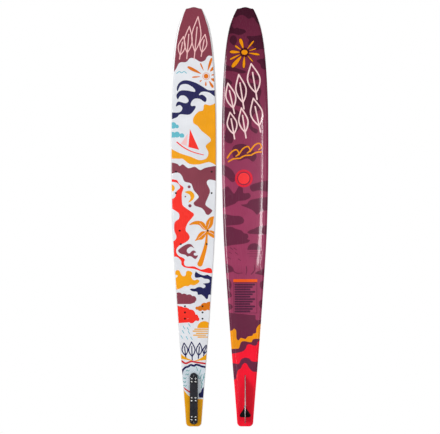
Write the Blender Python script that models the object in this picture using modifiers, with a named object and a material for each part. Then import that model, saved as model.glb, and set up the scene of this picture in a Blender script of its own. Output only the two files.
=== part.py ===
"""A pair of slalom water skis standing tips up, each with a clamped fin, a fin block and a wing.

The left ski shows its deck towards -Y and the right ski shows its base. Both are one design, so
every piece is modelled once in the ski's own frame and then placed twice.

Ski frame: X across the ski, Z from the tail to the tip, and Y through its thickness. A height is
measured from the flat of the base towards the deck, so height h lies at Y = BASE_Y - h.
"""

import math

import bmesh
import bpy
from mathutils import Euler, Matrix, Vector

# Whole pair
LENGTH = 1.549
SKI_SPACING = 0.190
GAP = 0.0003
CORE_SIDE_GAP = 0.00075
CORE_UNDERSIDE_GAP = 0.0006

# Fineness of the curves
HOLE_SIDES = 8
ROD_SIDES = 12
SCREW_SIDES = 10
CURVE_STEPS = 6
CORNER_STEPS = 4
WELD_DISTANCE = 1e-6
EDGE_ANGLE = math.radians(60)
SHARP_ANGLE = math.radians(35)

# Ski body
BASE_Y = 0.0095
TAIL_THICKNESS = 0.012
WAIST_THICKNESS = 0.019
TIP_THICKNESS = 0.009
RAMP_START = 0.215
RAMP_END = 0.365
ROCKER_START = 1.000
ROCKER_RISE = 0.058
ROCKER_POWER = 2.3
SKIN = 0.0015
TUNNEL_DEPTH = 0.0035
TUNNEL_TAIL_DEPTH = 0.002
TUNNEL_TAIL_RUNOUT = 0.03
TUNNEL_TIP_RUNOUT = 0.20
TUNNEL_STEPS = 6
LINE_BASE = 0.002
LINE_SHARE = 0.21
BEVEL_BASE = 0.004
BEVEL_SHARE = 0.083
BEVEL_FULL_WIDTH = 0.03
WALL_TAIL_INSET = 0.0015
WALL_INSET_GROWTH = 0.0045
WALL_INSET_POWER = 1.3
WALL_TIP_SHARE = 0.3
WALL_TIP_RUNOUT = 0.06
DECK_EDGE_RADIUS = 0.0025
DECK_EDGE_SHARE = 0.35
DECK_FOOT = 0.001875
BASE_WALL_SHARE = 0.3
SIDE_SHARE = 0.45

# Half width of the ski at places along it, before its corners are rounded
HALF_WIDTHS = (
    (0.000, 0.0285), (0.100, 0.0360), (0.300, 0.0520), (0.500, 0.0665), (0.700, 0.0791),
    (0.900, 0.0850), (1.060, 0.0860), (1.180, 0.0845), (1.300, 0.0793), (1.400, 0.0711),
    (1.470, 0.0592), (1.510, 0.0459), (1.542, 0.0307),
)
TAIL_CORNER = 0.014
TIP_CORNER = 0.004
NOSE_START = 1.490
NOSE_DROP = 0.0055
END_PINCH_LENGTH = 0.006
END_PINCH = 0.55

# Rings that the skins are lofted through: (start, end, steps) of the even stretches, then the
# numbers of rings round the tail's corners, in the bend up to the tip and round the nose
EVEN_RINGS = ((TAIL_CORNER, RAMP_START, 4), (RAMP_START, RAMP_END, 3), (RAMP_END, ROCKER_START, 6))
TAIL_RINGS = 4
BEND_RINGS = 9
BEND_POWER = 1.5
NOSE_RINGS = 8
SOLID_END_RINGS = 3

# Binding inserts: (height along the ski, spacing across it) of each row, and the plates under them
INSERT_HOLE = 0.0050
INSERT_PLATE = 0.004
INSERT_MARGIN = 0.010
POCKET_REACH = 0.003
DRILL_REACH = 0.004
INSERT_GROUPS = {
    "front_insert_plate": ((0.862, 0.132), (0.941, 0.132)),
    "mid_insert_plate": ((0.6735, 0.096), (0.723, 0.1035)),
    "rear_insert_plate": ((0.398, 0.065), (0.421, 0.065), (0.444, 0.065)),
}

# Fin block, its twelve hold-down screws and its two clamp screws
BLOCK_TAIL = 0.0078
BLOCK_SHOULDER = 0.1795
BLOCK_FRONT = 0.1980
BLOCK_HALF_WIDTH = 0.01475
BLOCK_HEIGHT = 0.013
BLOCK_TAIL_RADIUS = 0.0125
BLOCK_EDGE = 0.0012
BLOCK_TRAVEL = 0.005
BLOCK_ROOF = 0.0015
SCREW_COLUMN = 0.0072
SCREW_GROUPS = (0.0297, 0.1003, 0.1705)
SCREW_ROW_OFFSET = 0.0056
SCREW_SHANK = 0.002
SCREW_HEAD = 0.0033
SCREW_HEAD_HEIGHT = 0.0021
SCREW_DOME = ((0, 1), (0.62, 0.92), (1, 0.45))
SCREW_BITE = 0.0032
CLAMP_PLACES = {"clamp_screw_rear": 0.067, "clamp_screw_front": 0.137}
CLAMP_HEIGHT = 0.006
CLAMP_HEAD = 0.0035
CLAMP_HEAD_HEIGHT = 0.0026
CLAMP_BLIND_END = 0.0035

# Fin
SLOT_TAIL = 0.011
SLOT_FRONT = 0.1905
SLOT_HALF_WIDTH = 0.00175
FIN_TAIL = 0.0175
FIN_FRONT = 0.1835
FIN_HALF_THICKNESS = 0.0014
FIN_TAB = 0.0075
FIN_DEPTH = 0.063
FIN_TRAVEL = 0.003
FIN_SWEEP_HANDLE = 0.116
FIN_TIP = 0.046
FIN_HEEL_RADIUS = 0.010
FIN_HEEL_ANGLES = (270, 190)

# Wing
WING_HEIGHT = -0.050
WING_THICKNESS = 0.0018
WING_HALF_SPAN = 0.0205
WING_TAIL = 0.0335
WING_FRONT = 0.0777
WING_TIP_RADIUS = 0.0075
WING_TIP_END_ANGLE = 36
WING_FRONT_HANDLE = (0.0113, 0.0563)
WING_NECK = 0.0690
FLANGE_THICKNESS = 0.0015
FLANGE_RISE = 0.008
FLANGE_TAIL = 0.0450
PIVOT_PLACE = (0.0720, -0.0450)
LOCK_PLACE = (0.0520, -0.0450)
WING_TRAVEL = math.radians(12)
WING_SHANK = 0.0015
WING_HEAD = 0.0026
WING_HEAD_HEIGHT = 0.0011

DECK_PLAN = Matrix(((1, 0, 0, 0), (0, 0, -1, 0), (0, 1, 0, 0), (0, 0, 0, 1)))
SIDE_VIEW = Matrix(((0, 0, 1, 0), (0, -1, 0, 0), (1, 0, 0, 0), (0, 0, 0, 1)))
FACING_DECK = Euler((math.pi / 2, 0, 0))
FACING_STARBOARD = Euler((0, math.pi / 2, 0))

MATERIALS = {
    "deck_print": ((0.80, 0.80, 0.82), 0.22, 0.0),
    "base_print": ((0.16, 0.03, 0.07), 0.20, 0.0),
    "foam": ((0.75, 0.62, 0.38), 0.85, 0.0),
    "plate": ((0.62, 0.63, 0.65), 0.45, 1.0),
    "block_black": ((0.02, 0.02, 0.022), 0.42, 0.0),
    "stainless": ((0.72, 0.72, 0.73), 0.25, 1.0),
    "fin_aluminium": ((0.62, 0.58, 0.57), 0.32, 1.0),
    "wing_black": ((0.012, 0.012, 0.014), 0.38, 0.0),
}


# ---------------------------------------------------------------- curves of the ski

def ease(fraction):
    """Smooth step from 0 to 1, flat at both ends."""
    fraction = min(max(fraction, 0.0), 1.0)
    return fraction * fraction * (3 - 2 * fraction)


def through_points(points, place):
    """Smooth curve through (place, value) points, with slopes taken from their neighbours."""
    last = len(points) - 1
    place = min(max(place, points[0][0]), points[last][0])
    index = next(i for i in range(last) if place <= points[i + 1][0])

    def slope(i):
        before, after = points[max(i - 1, 0)], points[min(i + 1, last)]
        return (after[1] - before[1]) / (after[0] - before[0])

    (x0, y0), (x1, y1) = points[index], points[index + 1]
    span = x1 - x0
    t = (place - x0) / span
    start = (1 + 2 * t) * (1 - t) ** 2 * y0 + t * (1 - t) ** 2 * span * slope(index)
    return start + t * t * (3 - 2 * t) * y1 + t * t * (t - 1) * span * slope(index + 1)


def corner_inset(distance, radius):
    """How far a rounded corner pulls the side in, at a distance from the end."""
    if distance >= radius:
        return 0.0
    return radius - math.sqrt(max(radius ** 2 - (radius - distance) ** 2, 0.0))


def nose_drop(z):
    return NOSE_DROP * ease((z - NOSE_START) / (LENGTH - NOSE_START))


def half_width(z):
    """Half width of the ski's widest line for the ring whose middle is at z."""
    edge = z - nose_drop(z)
    width = through_points(HALF_WIDTHS, edge)
    return width - corner_inset(z, TAIL_CORNER) - corner_inset(LENGTH - z, TIP_CORNER)


def thickness(z):
    rise = WAIST_THICKNESS - TAIL_THICKNESS
    fall = WAIST_THICKNESS - TIP_THICKNESS
    ramp = ease((z - RAMP_START) / (RAMP_END - RAMP_START))
    taper = ease((z - ROCKER_START) / (LENGTH - ROCKER_START))
    return TAIL_THICKNESS + rise * ramp - fall * taper


def rocker(z):
    """Height of the base's flat above its straight middle."""
    return ROCKER_RISE * (max(z - ROCKER_START, 0.0) / (LENGTH - ROCKER_START)) ** ROCKER_POWER


def tunnel_depth(z):
    """Depth of the base's hollow, which runs out at both ends."""
    grow = TUNNEL_TAIL_DEPTH + (TUNNEL_DEPTH - TUNNEL_TAIL_DEPTH) * ease(z / RAMP_END)
    return grow * ease(z / TUNNEL_TAIL_RUNOUT) * ease((LENGTH - z) / TUNNEL_TIP_RUNOUT)


def wall_inset(z):
    """How much narrower the deck's print is than the ski's widest line."""
    inset = WALL_TAIL_INSET + WALL_INSET_GROWTH * (z / LENGTH) ** WALL_INSET_POWER
    near_tip = ease((LENGTH - z) / WALL_TIP_RUNOUT)
    return inset * (WALL_TIP_SHARE + (1 - WALL_TIP_SHARE) * near_tip)


def line_height(z):
    """Height of the widest line, where the deck skin meets the base skin."""
    return LINE_BASE + LINE_SHARE * thickness(z)


def half_parting(z):
    """Half the gap between the two skins, wider in the nose, where their facets differ."""
    return GAP / 2 * (1 + ease((z - NOSE_START) / (LENGTH - NOSE_START)))


def ring_places():
    """Places along the ski of the rings that its skins are lofted through."""
    tail = [TAIL_CORNER * (1 - math.cos(math.pi / 2 * i / TAIL_RINGS))
            for i in range(TAIL_RINGS + 1)]
    middle = [start + (end - start) * (i + 1) / steps for start, end, steps in EVEN_RINGS
              for i in range(steps)]
    front = NOSE_START - ROCKER_START
    bend = [NOSE_START - front * (1 - (i + 1) / BEND_RINGS) ** BEND_POWER
            for i in range(BEND_RINGS)]
    nose = LENGTH - NOSE_START
    tip = [NOSE_START + nose * math.sin(math.pi / 2 * (i + 1) / NOSE_RINGS)
           for i in range(NOSE_RINGS)]
    return tail + middle + bend + tip


def ring_points(z, outline):
    """Turn (x, height) points into points of the ring at z, with the end pinch, rocker and nose."""
    middle = thickness(z) / 2
    from_end = min(z, LENGTH - z)
    pinch = END_PINCH + (1 - END_PINCH) * math.sqrt(
        1 - (1 - min(from_end / END_PINCH_LENGTH, 1.0)) ** 2)
    width = half_width(z)
    points = []
    for x, height in outline:
        lifted = middle + (height - middle) * pinch + rocker(z)
        drop = nose_drop(z) * (1 - math.cos(math.pi * x / width)) / 2
        points.append(Vector((x, BASE_Y - lifted, z - drop)))
    return points


def mirrored(half, middle):
    """A path from port to starboard, from its middle and its starboard half, outside first."""
    return [(-x, height) for x, height in half] + [middle] + list(reversed(half))


def deck_outer(z):
    width, top = half_width(z) - wall_inset(z), thickness(z)
    radius = min(DECK_EDGE_RADIUS, DECK_EDGE_SHARE * (top - line_height(z)))
    bend = radius * (1 - math.sqrt(0.5))
    return mirrored([
        (half_width(z), line_height(z) + half_parting(z)),
        (width, top - radius),
        (width - bend, top - bend),
        (width - radius, top),
        (SIDE_SHARE * width, top),
    ], (0, top))


def deck_inner(z, solid):
    parting = line_height(z) + half_parting(z)
    ceiling = parting if solid else thickness(z) - SKIN
    return mirrored([
        (half_width(z) - DECK_FOOT, parting),
        (half_width(z) - wall_inset(z) - SKIN, ceiling),
        (SIDE_SHARE * half_width(z), ceiling),
    ], (0, ceiling))


def tunnel_path(z, half_span, lift):
    """The hollow between the rails: a shallow arch, deepest along the middle."""
    path = []
    for i in range(TUNNEL_STEPS + 1):
        across = 2 * i / TUNNEL_STEPS - 1
        path.append((across * half_span, tunnel_depth(z) * (1 - across ** 2) + lift))
    return path


def bevel(z):
    """Width of the slanted edge between the widest line and the rail."""
    width = half_width(z)
    return (BEVEL_BASE + BEVEL_SHARE * width) * min(1.0, width / BEVEL_FULL_WIDTH)


def rail_place(z):
    return half_width(z) - bevel(z)


def base_outer(z):
    side, parting = half_width(z), line_height(z) - half_parting(z)
    return [(-side, parting)] + tunnel_path(z, rail_place(z), 0.0) + [(side, parting)]


def base_inner(z, solid):
    side, parting = half_width(z) - BASE_WALL_SHARE * bevel(z), line_height(z) - half_parting(z)
    path = tunnel_path(z, rail_place(z) - GAP, SKIN)
    if solid:
        path = [(x, parting) for x, height in path]
    return [(-side, parting)] + path + [(side, parting)]


def core_outline(z):
    """The core fills the skins, a gap inside them all round."""
    line = line_height(z)
    low = [(x * (1 - 2 * GAP / rail_place(z)), height + CORE_UNDERSIDE_GAP) for x, height in
           tunnel_path(z, rail_place(z) - GAP, SKIN)]
    low_side = half_width(z) - BASE_WALL_SHARE * bevel(z) - CORE_SIDE_GAP
    high_side = half_width(z) - wall_inset(z) - SKIN - 2 * GAP
    ceiling = thickness(z) - SKIN - GAP
    top = mirrored([(high_side, ceiling), (SIDE_SHARE * half_width(z), ceiling)], (0, ceiling))
    return [(-low_side, line)] + low + [(low_side, line)] + list(reversed(top))


# ---------------------------------------------------------------- mesh helpers

def new_object(name, mesh):
    item = bpy.data.objects.new(name, mesh)
    bpy.context.scene.collection.objects.link(item)
    return item


def baked(item, name):
    """Replace an object by a plain mesh of its evaluated shape, and return the mesh."""
    bpy.context.view_layer.update()
    evaluated = item.evaluated_get(bpy.context.evaluated_depsgraph_get())
    mesh = bpy.data.meshes.new_from_object(evaluated)
    mesh.transform(item.matrix_world)
    mesh.name = name
    bpy.data.objects.remove(item)
    weld(mesh)
    return mesh


def weld(mesh):
    work = bmesh.new()
    work.from_mesh(mesh)
    bmesh.ops.remove_doubles(work, verts=work.verts, dist=WELD_DISTANCE)
    bmesh.ops.recalc_face_normals(work, faces=work.faces)
    work.to_mesh(mesh)
    work.free()


def loft(name, rings):
    """Skin closed rings of equal length, one after another, and cap the two ends."""
    count = len(rings[0])
    faces = [list(range(count)), [(len(rings) - 1) * count + i for i in reversed(range(count))]]
    for level in range(len(rings) - 1):
        low, high = level * count, (level + 1) * count
        for i in range(count):
            after = (i + 1) % count
            faces.append([low + i, high + i, high + after, low + after])
    mesh = bpy.data.meshes.new(name)
    mesh.from_pydata([point for ring in rings for point in ring], [], faces)
    work = bmesh.new()
    work.from_mesh(mesh)
    caps = [face for face in work.faces if len(face.verts) > 4]
    bmesh.ops.triangulate(work, faces=caps, ngon_method="EAR_CLIP")
    work.to_mesh(mesh)
    work.free()
    weld(mesh)
    return mesh


def plate(name, outline, low, high, view):
    """Extrude a flat outline from low to high, then turn it from its drawing plane."""
    curve = bpy.data.curves.new(name, "CURVE")
    curve.dimensions = "2D"
    curve.fill_mode = "BOTH"
    curve.extrude = (high - low) / 2
    spline = curve.splines.new("POLY")
    spline.points.add(len(outline) - 1)
    for point, (x, y) in zip(spline.points, outline):
        point.co = (x, y, 0, 1)
    spline.use_cyclic_u = True
    item = new_object(name, curve)
    item.matrix_world = view @ Matrix.Translation((0, 0, (low + high) / 2))
    return baked(item, name)


def box(name, low, high):
    low, high = Vector(low), Vector(high)
    bpy.ops.mesh.primitive_cube_add(size=1, location=(low + high) / 2)
    item = bpy.context.object
    item.scale = high - low
    return baked(item, name)


def rod(name, radius, low, high, sides=ROD_SIDES):
    """A straight rod between two points."""
    low, high = Vector(low), Vector(high)
    bpy.ops.mesh.primitive_cylinder_add(vertices=sides, radius=radius, depth=(high - low).length)
    item = bpy.context.object
    item.rotation_euler = (high - low).to_track_quat("Z", "Y").to_euler()
    item.location = (low + high) / 2
    return baked(item, name)


def combined(mesh, others, operation="DIFFERENCE"):
    """Cut other meshes out of a mesh, or join them to it."""
    item = new_object(mesh.name, mesh)
    helpers = []
    for other in others:
        helper = new_object(other.name, other)
        change = item.modifiers.new(operation.lower(), "BOOLEAN")
        change.operation = operation
        change.solver = "EXACT"
        change.object = helper
        helpers.append(helper)
    result = baked(item, mesh.name)
    for helper in helpers:
        bpy.data.objects.remove(helper)
    return result


def screw_mesh(name, shank, length, head, head_height):
    """A pan-head screw, turned about Z, with the underside of its head at z = 0."""
    dome = [(head * across, head_height * up) for across, up in SCREW_DOME]
    profile = dome + [(head, 0), (shank, 0), (shank, -length), (0, -length)]
    mesh = bpy.data.meshes.new(name)
    mesh.from_pydata([(x, 0, z) for x, z in profile], [(i, i + 1) for i in range(len(profile) - 1)], [])
    item = new_object(name, mesh)
    turn = item.modifiers.new("turn", "SCREW")
    turn.steps = turn.render_steps = SCREW_SIDES
    turn.use_merge_vertices = True
    turn.merge_threshold = WELD_DISTANCE
    return baked(item, name)


def arc(centre, radii, start, end, steps):
    """Points on an ellipse's arc, from one angle in degrees to another."""
    points = []
    for i in range(steps + 1):
        angle = math.radians(start + (end - start) * i / steps)
        points.append((centre[0] + radii[0] * math.cos(angle), centre[1] + radii[1] * math.sin(angle)))
    return points


def pill(centre, radius, half_length):
    """An upright slot outline with round ends."""
    reach = half_length - radius
    return (arc((centre[0], centre[1] + reach), (radius, radius), 0, 180, CORNER_STEPS)
            + arc((centre[0], centre[1] - reach), (radius, radius), 180, 360, CORNER_STEPS))


def at_height(x, height, z):
    return (x, BASE_Y - height, z)


# ---------------------------------------------------------------- ski body

def fin_slot():
    return box("slot", at_height(-SLOT_HALF_WIDTH, 2 * WAIST_THICKNESS, SLOT_TAIL),
               at_height(SLOT_HALF_WIDTH, -WAIST_THICKNESS, SLOT_FRONT))


def insert_places():
    return [(side * spacing / 2, z) for rows in INSERT_GROUPS.values()
            for z, spacing in rows for side in (-1, 1)]


def screw_places():
    return [(side * SCREW_COLUMN, centre + offset) for centre in SCREW_GROUPS
            for offset in (-SCREW_ROW_OFFSET, SCREW_ROW_OFFSET) for side in (-1, 1)]


def deck_holes(places, radius, low, high):
    return [rod("hole", radius, at_height(x, low, z), at_height(x, high, z), HOLE_SIDES)
            for x, z in places]


def is_solid_end(index, count):
    """Whether a ring is one of those at either end where a skin has no hollow."""
    return index < SOLID_END_RINGS or index >= count - SOLID_END_RINGS


def deck_skin():
    places = ring_places()
    rings = []
    for index, z in enumerate(places):
        solid = is_solid_end(index, len(places))
        rings.append(ring_points(z, deck_outer(z) + list(reversed(deck_inner(z, solid)))))
    holes = deck_holes(insert_places(), INSERT_HOLE / 2, WAIST_THICKNESS - DRILL_REACH,
                       WAIST_THICKNESS + DRILL_REACH)
    holes += deck_holes(screw_places(), SCREW_SHANK + GAP, TAIL_THICKNESS - DRILL_REACH,
                        TAIL_THICKNESS + DRILL_REACH)
    return combined(loft("deck_skin", rings), [fin_slot()] + holes)


def base_skin():
    places = ring_places()
    rings = []
    for index, z in enumerate(places):
        solid = is_solid_end(index, len(places))
        rings.append(ring_points(z, base_outer(z) + list(reversed(base_inner(z, solid)))))
    return combined(loft("base_skin", rings), [fin_slot()])


def plate_box(name, span, deck_thickness, grow=0.0):
    """The block of an insert plate, or of the pocket it lies in when grown by the gap."""
    half, low_z, high_z = span
    top = deck_thickness - SKIN - GAP
    bottom = top - INSERT_PLATE - grow
    if grow:
        top += POCKET_REACH
    return box(name, at_height(-half - grow, top, low_z - grow),
               at_height(half + grow, bottom, high_z + grow))


def insert_span(rows):
    """Half width, low end and high end of the plate under some rows of inserts."""
    half = max(spacing for z, spacing in rows) / 2 + INSERT_MARGIN
    places = [z for z, spacing in rows]
    return half, min(places) - INSERT_MARGIN, max(places) + INSERT_MARGIN


def fin_plate_span():
    """The same for the plate under the fin block, which closes round the front of the slot."""
    low_z = SCREW_GROUPS[0] - SCREW_ROW_OFFSET - INSERT_MARGIN
    return SCREW_COLUMN + INSERT_MARGIN, low_z, SLOT_FRONT + INSERT_MARGIN


def foam_core():
    places = ring_places()[SOLID_END_RINGS + 1:-SOLID_END_RINGS - 1]
    core = loft("foam_core", [ring_points(z, core_outline(z)) for z in places])
    pockets = [plate_box("pocket", insert_span(rows), WAIST_THICKNESS, GAP)
               for rows in INSERT_GROUPS.values()]
    pockets.append(plate_box("pocket", fin_plate_span(), TAIL_THICKNESS, GAP))
    return combined(core, pockets + [fin_slot()])


def insert_plate(name, rows):
    places = [(side * spacing / 2, z) for z, spacing in rows for side in (-1, 1)]
    holes = deck_holes(places, INSERT_HOLE / 2, 0, WAIST_THICKNESS)
    return combined(plate_box(name, insert_span(rows), WAIST_THICKNESS), holes)


def fin_insert_plate():
    holes = deck_holes(screw_places(), SCREW_SHANK + GAP, 0, TAIL_THICKNESS)
    block = plate_box("fin_insert_plate", fin_plate_span(), TAIL_THICKNESS)
    return combined(block, holes + [fin_slot()])


# ---------------------------------------------------------------- fin block

def block_inner_face():
    return FIN_HALF_THICKNESS + GAP


def block_half_outline():
    """Plan of the starboard half, with round corners at the tail and a round nose."""
    joint, outer, radius = GAP / 2, BLOCK_HALF_WIDTH, BLOCK_TAIL_RADIUS
    tail = arc((outer - radius, BLOCK_TAIL + radius), (radius, radius), -90, 0, CURVE_STEPS)
    nose = arc((joint, BLOCK_SHOULDER), (outer - joint, BLOCK_FRONT - BLOCK_SHOULDER), 0, 90,
               CURVE_STEPS)
    return tail + nose + [(joint, BLOCK_TAIL)]


def block_bottom():
    return TAIL_THICKNESS + GAP


def block_top():
    return block_bottom() + BLOCK_HEIGHT


def bevelled(mesh, width):
    """Chamfer the sharp rim of a flat piece."""
    item = new_object(mesh.name, mesh)
    edge = item.modifiers.new("edge", "BEVEL")
    edge.width = width
    edge.segments = 1
    edge.limit_method = "ANGLE"
    edge.angle_limit = EDGE_ANGLE
    edge.use_clamp_overlap = True
    return baked(item, mesh.name)


def clamp_cutters(side):
    """Holes of the clamp screws: through the starboard half with a head seat, blind in port."""
    height = block_bottom() + CLAMP_HEIGHT
    outside = BLOCK_HALF_WIDTH + BLOCK_EDGE
    seat = BLOCK_HALF_WIDTH - CLAMP_HEAD_HEIGHT - 2 * GAP
    reach = outside if side > 0 else CLAMP_BLIND_END - BLOCK_HALF_WIDTH
    cutters = []
    for z in CLAMP_PLACES.values():
        cutters.append(rod("hole", SCREW_SHANK + GAP, at_height(0, height, z),
                           at_height(reach, height, z)))
        if side > 0:
            cutters.append(rod("seat", CLAMP_HEAD + GAP, at_height(seat, height, z),
                               at_height(outside, height, z)))
    return cutters


def block_half(side):
    """One half of the block: a channel that the fin hangs in, under a roof, slots for the six
    hold-down screws, and the holes of the clamp screws."""
    outline = [(side * x, z) for x, z in block_half_outline()]
    low = block_bottom() - BASE_Y
    half = plate("fin_block_half", outline, low, low + BLOCK_HEIGHT, DECK_PLAN)
    half = bevelled(half, BLOCK_EDGE)
    slot_half = SCREW_ROW_OFFSET + BLOCK_TRAVEL + SCREW_SHANK + GAP
    cutters = [plate("slot", pill((side * SCREW_COLUMN, z), SCREW_SHANK + GAP, slot_half),
                     low - BLOCK_EDGE, low + BLOCK_HEIGHT + BLOCK_EDGE, DECK_PLAN)
               for z in SCREW_GROUPS]
    channel = block_inner_face()
    cutters.append(box("channel", at_height(-channel, block_top() - BLOCK_ROOF, FIN_TAIL - GAP),
                       at_height(channel, 0, FIN_FRONT + GAP)))
    return combined(half, cutters + clamp_cutters(side))


# ---------------------------------------------------------------- fin and wing

def bezier(start, handle, end, steps):
    points = []
    for i in range(steps + 1):
        t = i / steps
        points.append(tuple((1 - t) ** 2 * a + 2 * t * (1 - t) * b + t * t * c
                            for a, b, c in zip(start, handle, end)))
    return points


def fin_outline():
    """Side view of the fin as (z, height above the fin's own drawing line) points."""
    leading = bezier((FIN_FRONT, 0), (FIN_SWEEP_HANDLE, -FIN_DEPTH), (FIN_TIP, -FIN_DEPTH),
                     2 * CURVE_STEPS)
    radius = FIN_HEEL_RADIUS
    heel = arc((FIN_TIP - radius, radius - FIN_DEPTH), (radius, radius), *FIN_HEEL_ANGLES,
               CORNER_STEPS)
    tab_top = TAIL_THICKNESS + FIN_TAB
    notch_half = SCREW_SHANK + GAP
    notch_floor = block_bottom() + CLAMP_HEIGHT - notch_half - FIN_TRAVEL
    top = [(FIN_TAIL, tab_top)]
    for z in CLAMP_PLACES.values():
        top += [(z - notch_half, tab_top), (z - notch_half, notch_floor),
                (z + notch_half, notch_floor), (z + notch_half, tab_top)]
    top += [(FIN_FRONT, tab_top)]
    return leading + heel + [(FIN_TAIL, 0)] + top


def lock_slot():
    """Curved slot in the fin that the wing's lock screw moves along."""
    reach = PIVOT_PLACE[0] - LOCK_PLACE[0]
    width = WING_SHANK + GAP
    low, high = 180.0, 180.0 - math.degrees(WING_TRAVEL)
    outer = arc(PIVOT_PLACE, (reach + width, reach + width), low, high, CURVE_STEPS)
    inner = arc(PIVOT_PLACE, (reach - width, reach - width), high, low, CURVE_STEPS)
    turn = math.radians(high)
    far = (PIVOT_PLACE[0] + reach * math.cos(turn), PIVOT_PLACE[1] + reach * math.sin(turn))
    far_cap = arc(far, (width, width), high, high - 180, CORNER_STEPS)[1:-1]
    near_cap = arc(LOCK_PLACE, (width, width), 360, 180, CORNER_STEPS)[1:-1]
    return outer + far_cap + inner + near_cap


def side_plate(name, outline, low, high):
    """Extrude a (z, height) outline across the ski."""
    return plate(name, [(z, height - BASE_Y) for z, height in outline], low, high, SIDE_VIEW)


def fin():
    half = FIN_HALF_THICKNESS
    blade = side_plate("fin", fin_outline(), -half, half)
    reach = 2 * FIN_HALF_THICKNESS
    z, height = PIVOT_PLACE
    pivot = rod("hole", WING_SHANK + GAP, at_height(-reach, height, z),
                at_height(reach, height, z))
    return combined(blade, [pivot, side_plate("slot", lock_slot(), -reach, reach)])


def wing_half_outline():
    """Plan of the starboard wing half: a flat tail edge, a round tip and a hollow front edge."""
    inner = block_inner_face()
    corner = WING_TIP_RADIUS
    tip = arc((WING_HALF_SPAN - corner, WING_TAIL + corner), (corner, corner), -90,
              WING_TIP_END_ANGLE, CURVE_STEPS)
    front = bezier(tip[-1], WING_FRONT_HANDLE, (inner + FLANGE_THICKNESS, WING_NECK),
                   CURVE_STEPS)[1:]
    return [(inner, WING_TAIL)] + tip + front + [(inner + FLANGE_THICKNESS, WING_FRONT),
                                                 (inner, WING_FRONT)]


def wing_half(side):
    """A delta blade and an upright flange against the fin, as one moulding."""
    low = WING_HEIGHT - BASE_Y
    outline = [(side * x, z) for x, z in wing_half_outline()]
    blade = plate("wing_half", outline, low, low + WING_THICKNESS, DECK_PLAN)
    inner = block_inner_face()
    near, far = sorted((side * inner, side * (inner + FLANGE_THICKNESS)))
    flange = box("flange", at_height(near, WING_HEIGHT + FLANGE_RISE, FLANGE_TAIL),
                 at_height(far, WING_HEIGHT + WING_THICKNESS / 2, WING_FRONT))
    moulding = combined(blade, [flange], "UNION")
    holes = [rod("hole", WING_SHANK + GAP, at_height(0, height, z),
                 at_height(side * WING_HALF_SPAN / 2, height, z))
             for z, height in (PIVOT_PLACE, LOCK_PLACE)]
    return combined(moulding, holes)


# ---------------------------------------------------------------- screws

def block_screw():
    plate_top = TAIL_THICKNESS - SKIN - GAP
    length = block_top() + GAP - plate_top + SCREW_BITE
    return screw_mesh("block_screw", SCREW_SHANK, length, SCREW_HEAD, SCREW_HEAD_HEIGHT)


def clamp_screw():
    seat = BLOCK_HALF_WIDTH - CLAMP_HEAD_HEIGHT - GAP
    length = seat + BLOCK_HALF_WIDTH - CLAMP_BLIND_END - 2 * GAP
    return screw_mesh("clamp_screw", SCREW_SHANK, length, CLAMP_HEAD, CLAMP_HEAD_HEIGHT)


def wing_screw():
    length = 2 * (block_inner_face() + FLANGE_THICKNESS) + 2 * GAP
    return screw_mesh("wing_screw", WING_SHANK, length, WING_HEAD, WING_HEAD_HEIGHT)


def screw_list():
    """(name, mesh, place in the ski's frame, direction of the head) of every screw of a ski."""
    block, clamp, wing = block_screw(), clamp_screw(), wing_screw()
    screws = []
    for number, (x, z) in enumerate(screw_places(), 1):
        screws.append((f"block_screw_{number}", block, at_height(x, block_top() + GAP, z),
                       FACING_DECK))
    clamp_x = BLOCK_HALF_WIDTH - CLAMP_HEAD_HEIGHT - GAP
    for name, z in CLAMP_PLACES.items():
        place = at_height(clamp_x, block_bottom() + CLAMP_HEIGHT, z)
        screws.append((name, clamp, place, FACING_STARBOARD))
    wing_x = block_inner_face() + FLANGE_THICKNESS + GAP
    for name, (z, height) in (("wing_pivot_screw", PIVOT_PLACE), ("wing_lock_screw", LOCK_PLACE)):
        screws.append((name, wing, at_height(wing_x, height, z), FACING_STARBOARD))
    return screws


# ---------------------------------------------------------------- assembly

def make_material(name):
    colour, roughness, metallic = MATERIALS[name]
    material = bpy.data.materials.new(name)
    material.use_nodes = True
    shader = material.node_tree.nodes["Principled BSDF"]
    shader.inputs["Base Color"].default_value = (*colour, 1)
    shader.inputs["Roughness"].default_value = roughness
    shader.inputs["Metallic"].default_value = metallic
    return material


def ski_pieces():
    """Every piece of one ski: (name, mesh, material, place, direction)."""
    origin, straight = (0, 0, 0), Euler((0, 0, 0))
    bodies = [
        ("deck_skin", deck_skin(), "deck_print"),
        ("base_skin", base_skin(), "base_print"),
        ("foam_core", foam_core(), "foam"),
        ("fin_insert_plate", fin_insert_plate(), "plate"),
        ("fin", fin(), "fin_aluminium"),
    ]
    for side_name, side in (("port", -1), ("starboard", 1)):
        bodies.append((f"fin_block_{side_name}", block_half(side), "block_black"))
        bodies.append((f"wing_{side_name}", wing_half(side), "wing_black"))
    bodies += [(name, insert_plate(name, rows), "plate") for name, rows in INSERT_GROUPS.items()]
    pieces = [(name, mesh, material, origin, straight) for name, mesh, material in bodies]
    for name, mesh, place, direction in screw_list():
        pieces.append((name, mesh, "stainless", place, direction))
    return pieces


def place_ski(side_name, x, turn, pieces, collection):
    """Put one ski's pieces under an empty that stands in the pair's frame."""
    stand = bpy.data.objects.new(f"{side_name}_ski", None)
    collection.objects.link(stand)
    stand.location = (x, 0, 0)
    stand.rotation_euler = (0, 0, turn)
    for name, mesh, material, place, direction in pieces:
        item = bpy.data.objects.new(f"{side_name}_{name}", mesh)
        item.location = place
        item.rotation_euler = direction
        item.parent = stand
        collection.objects.link(item)


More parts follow.
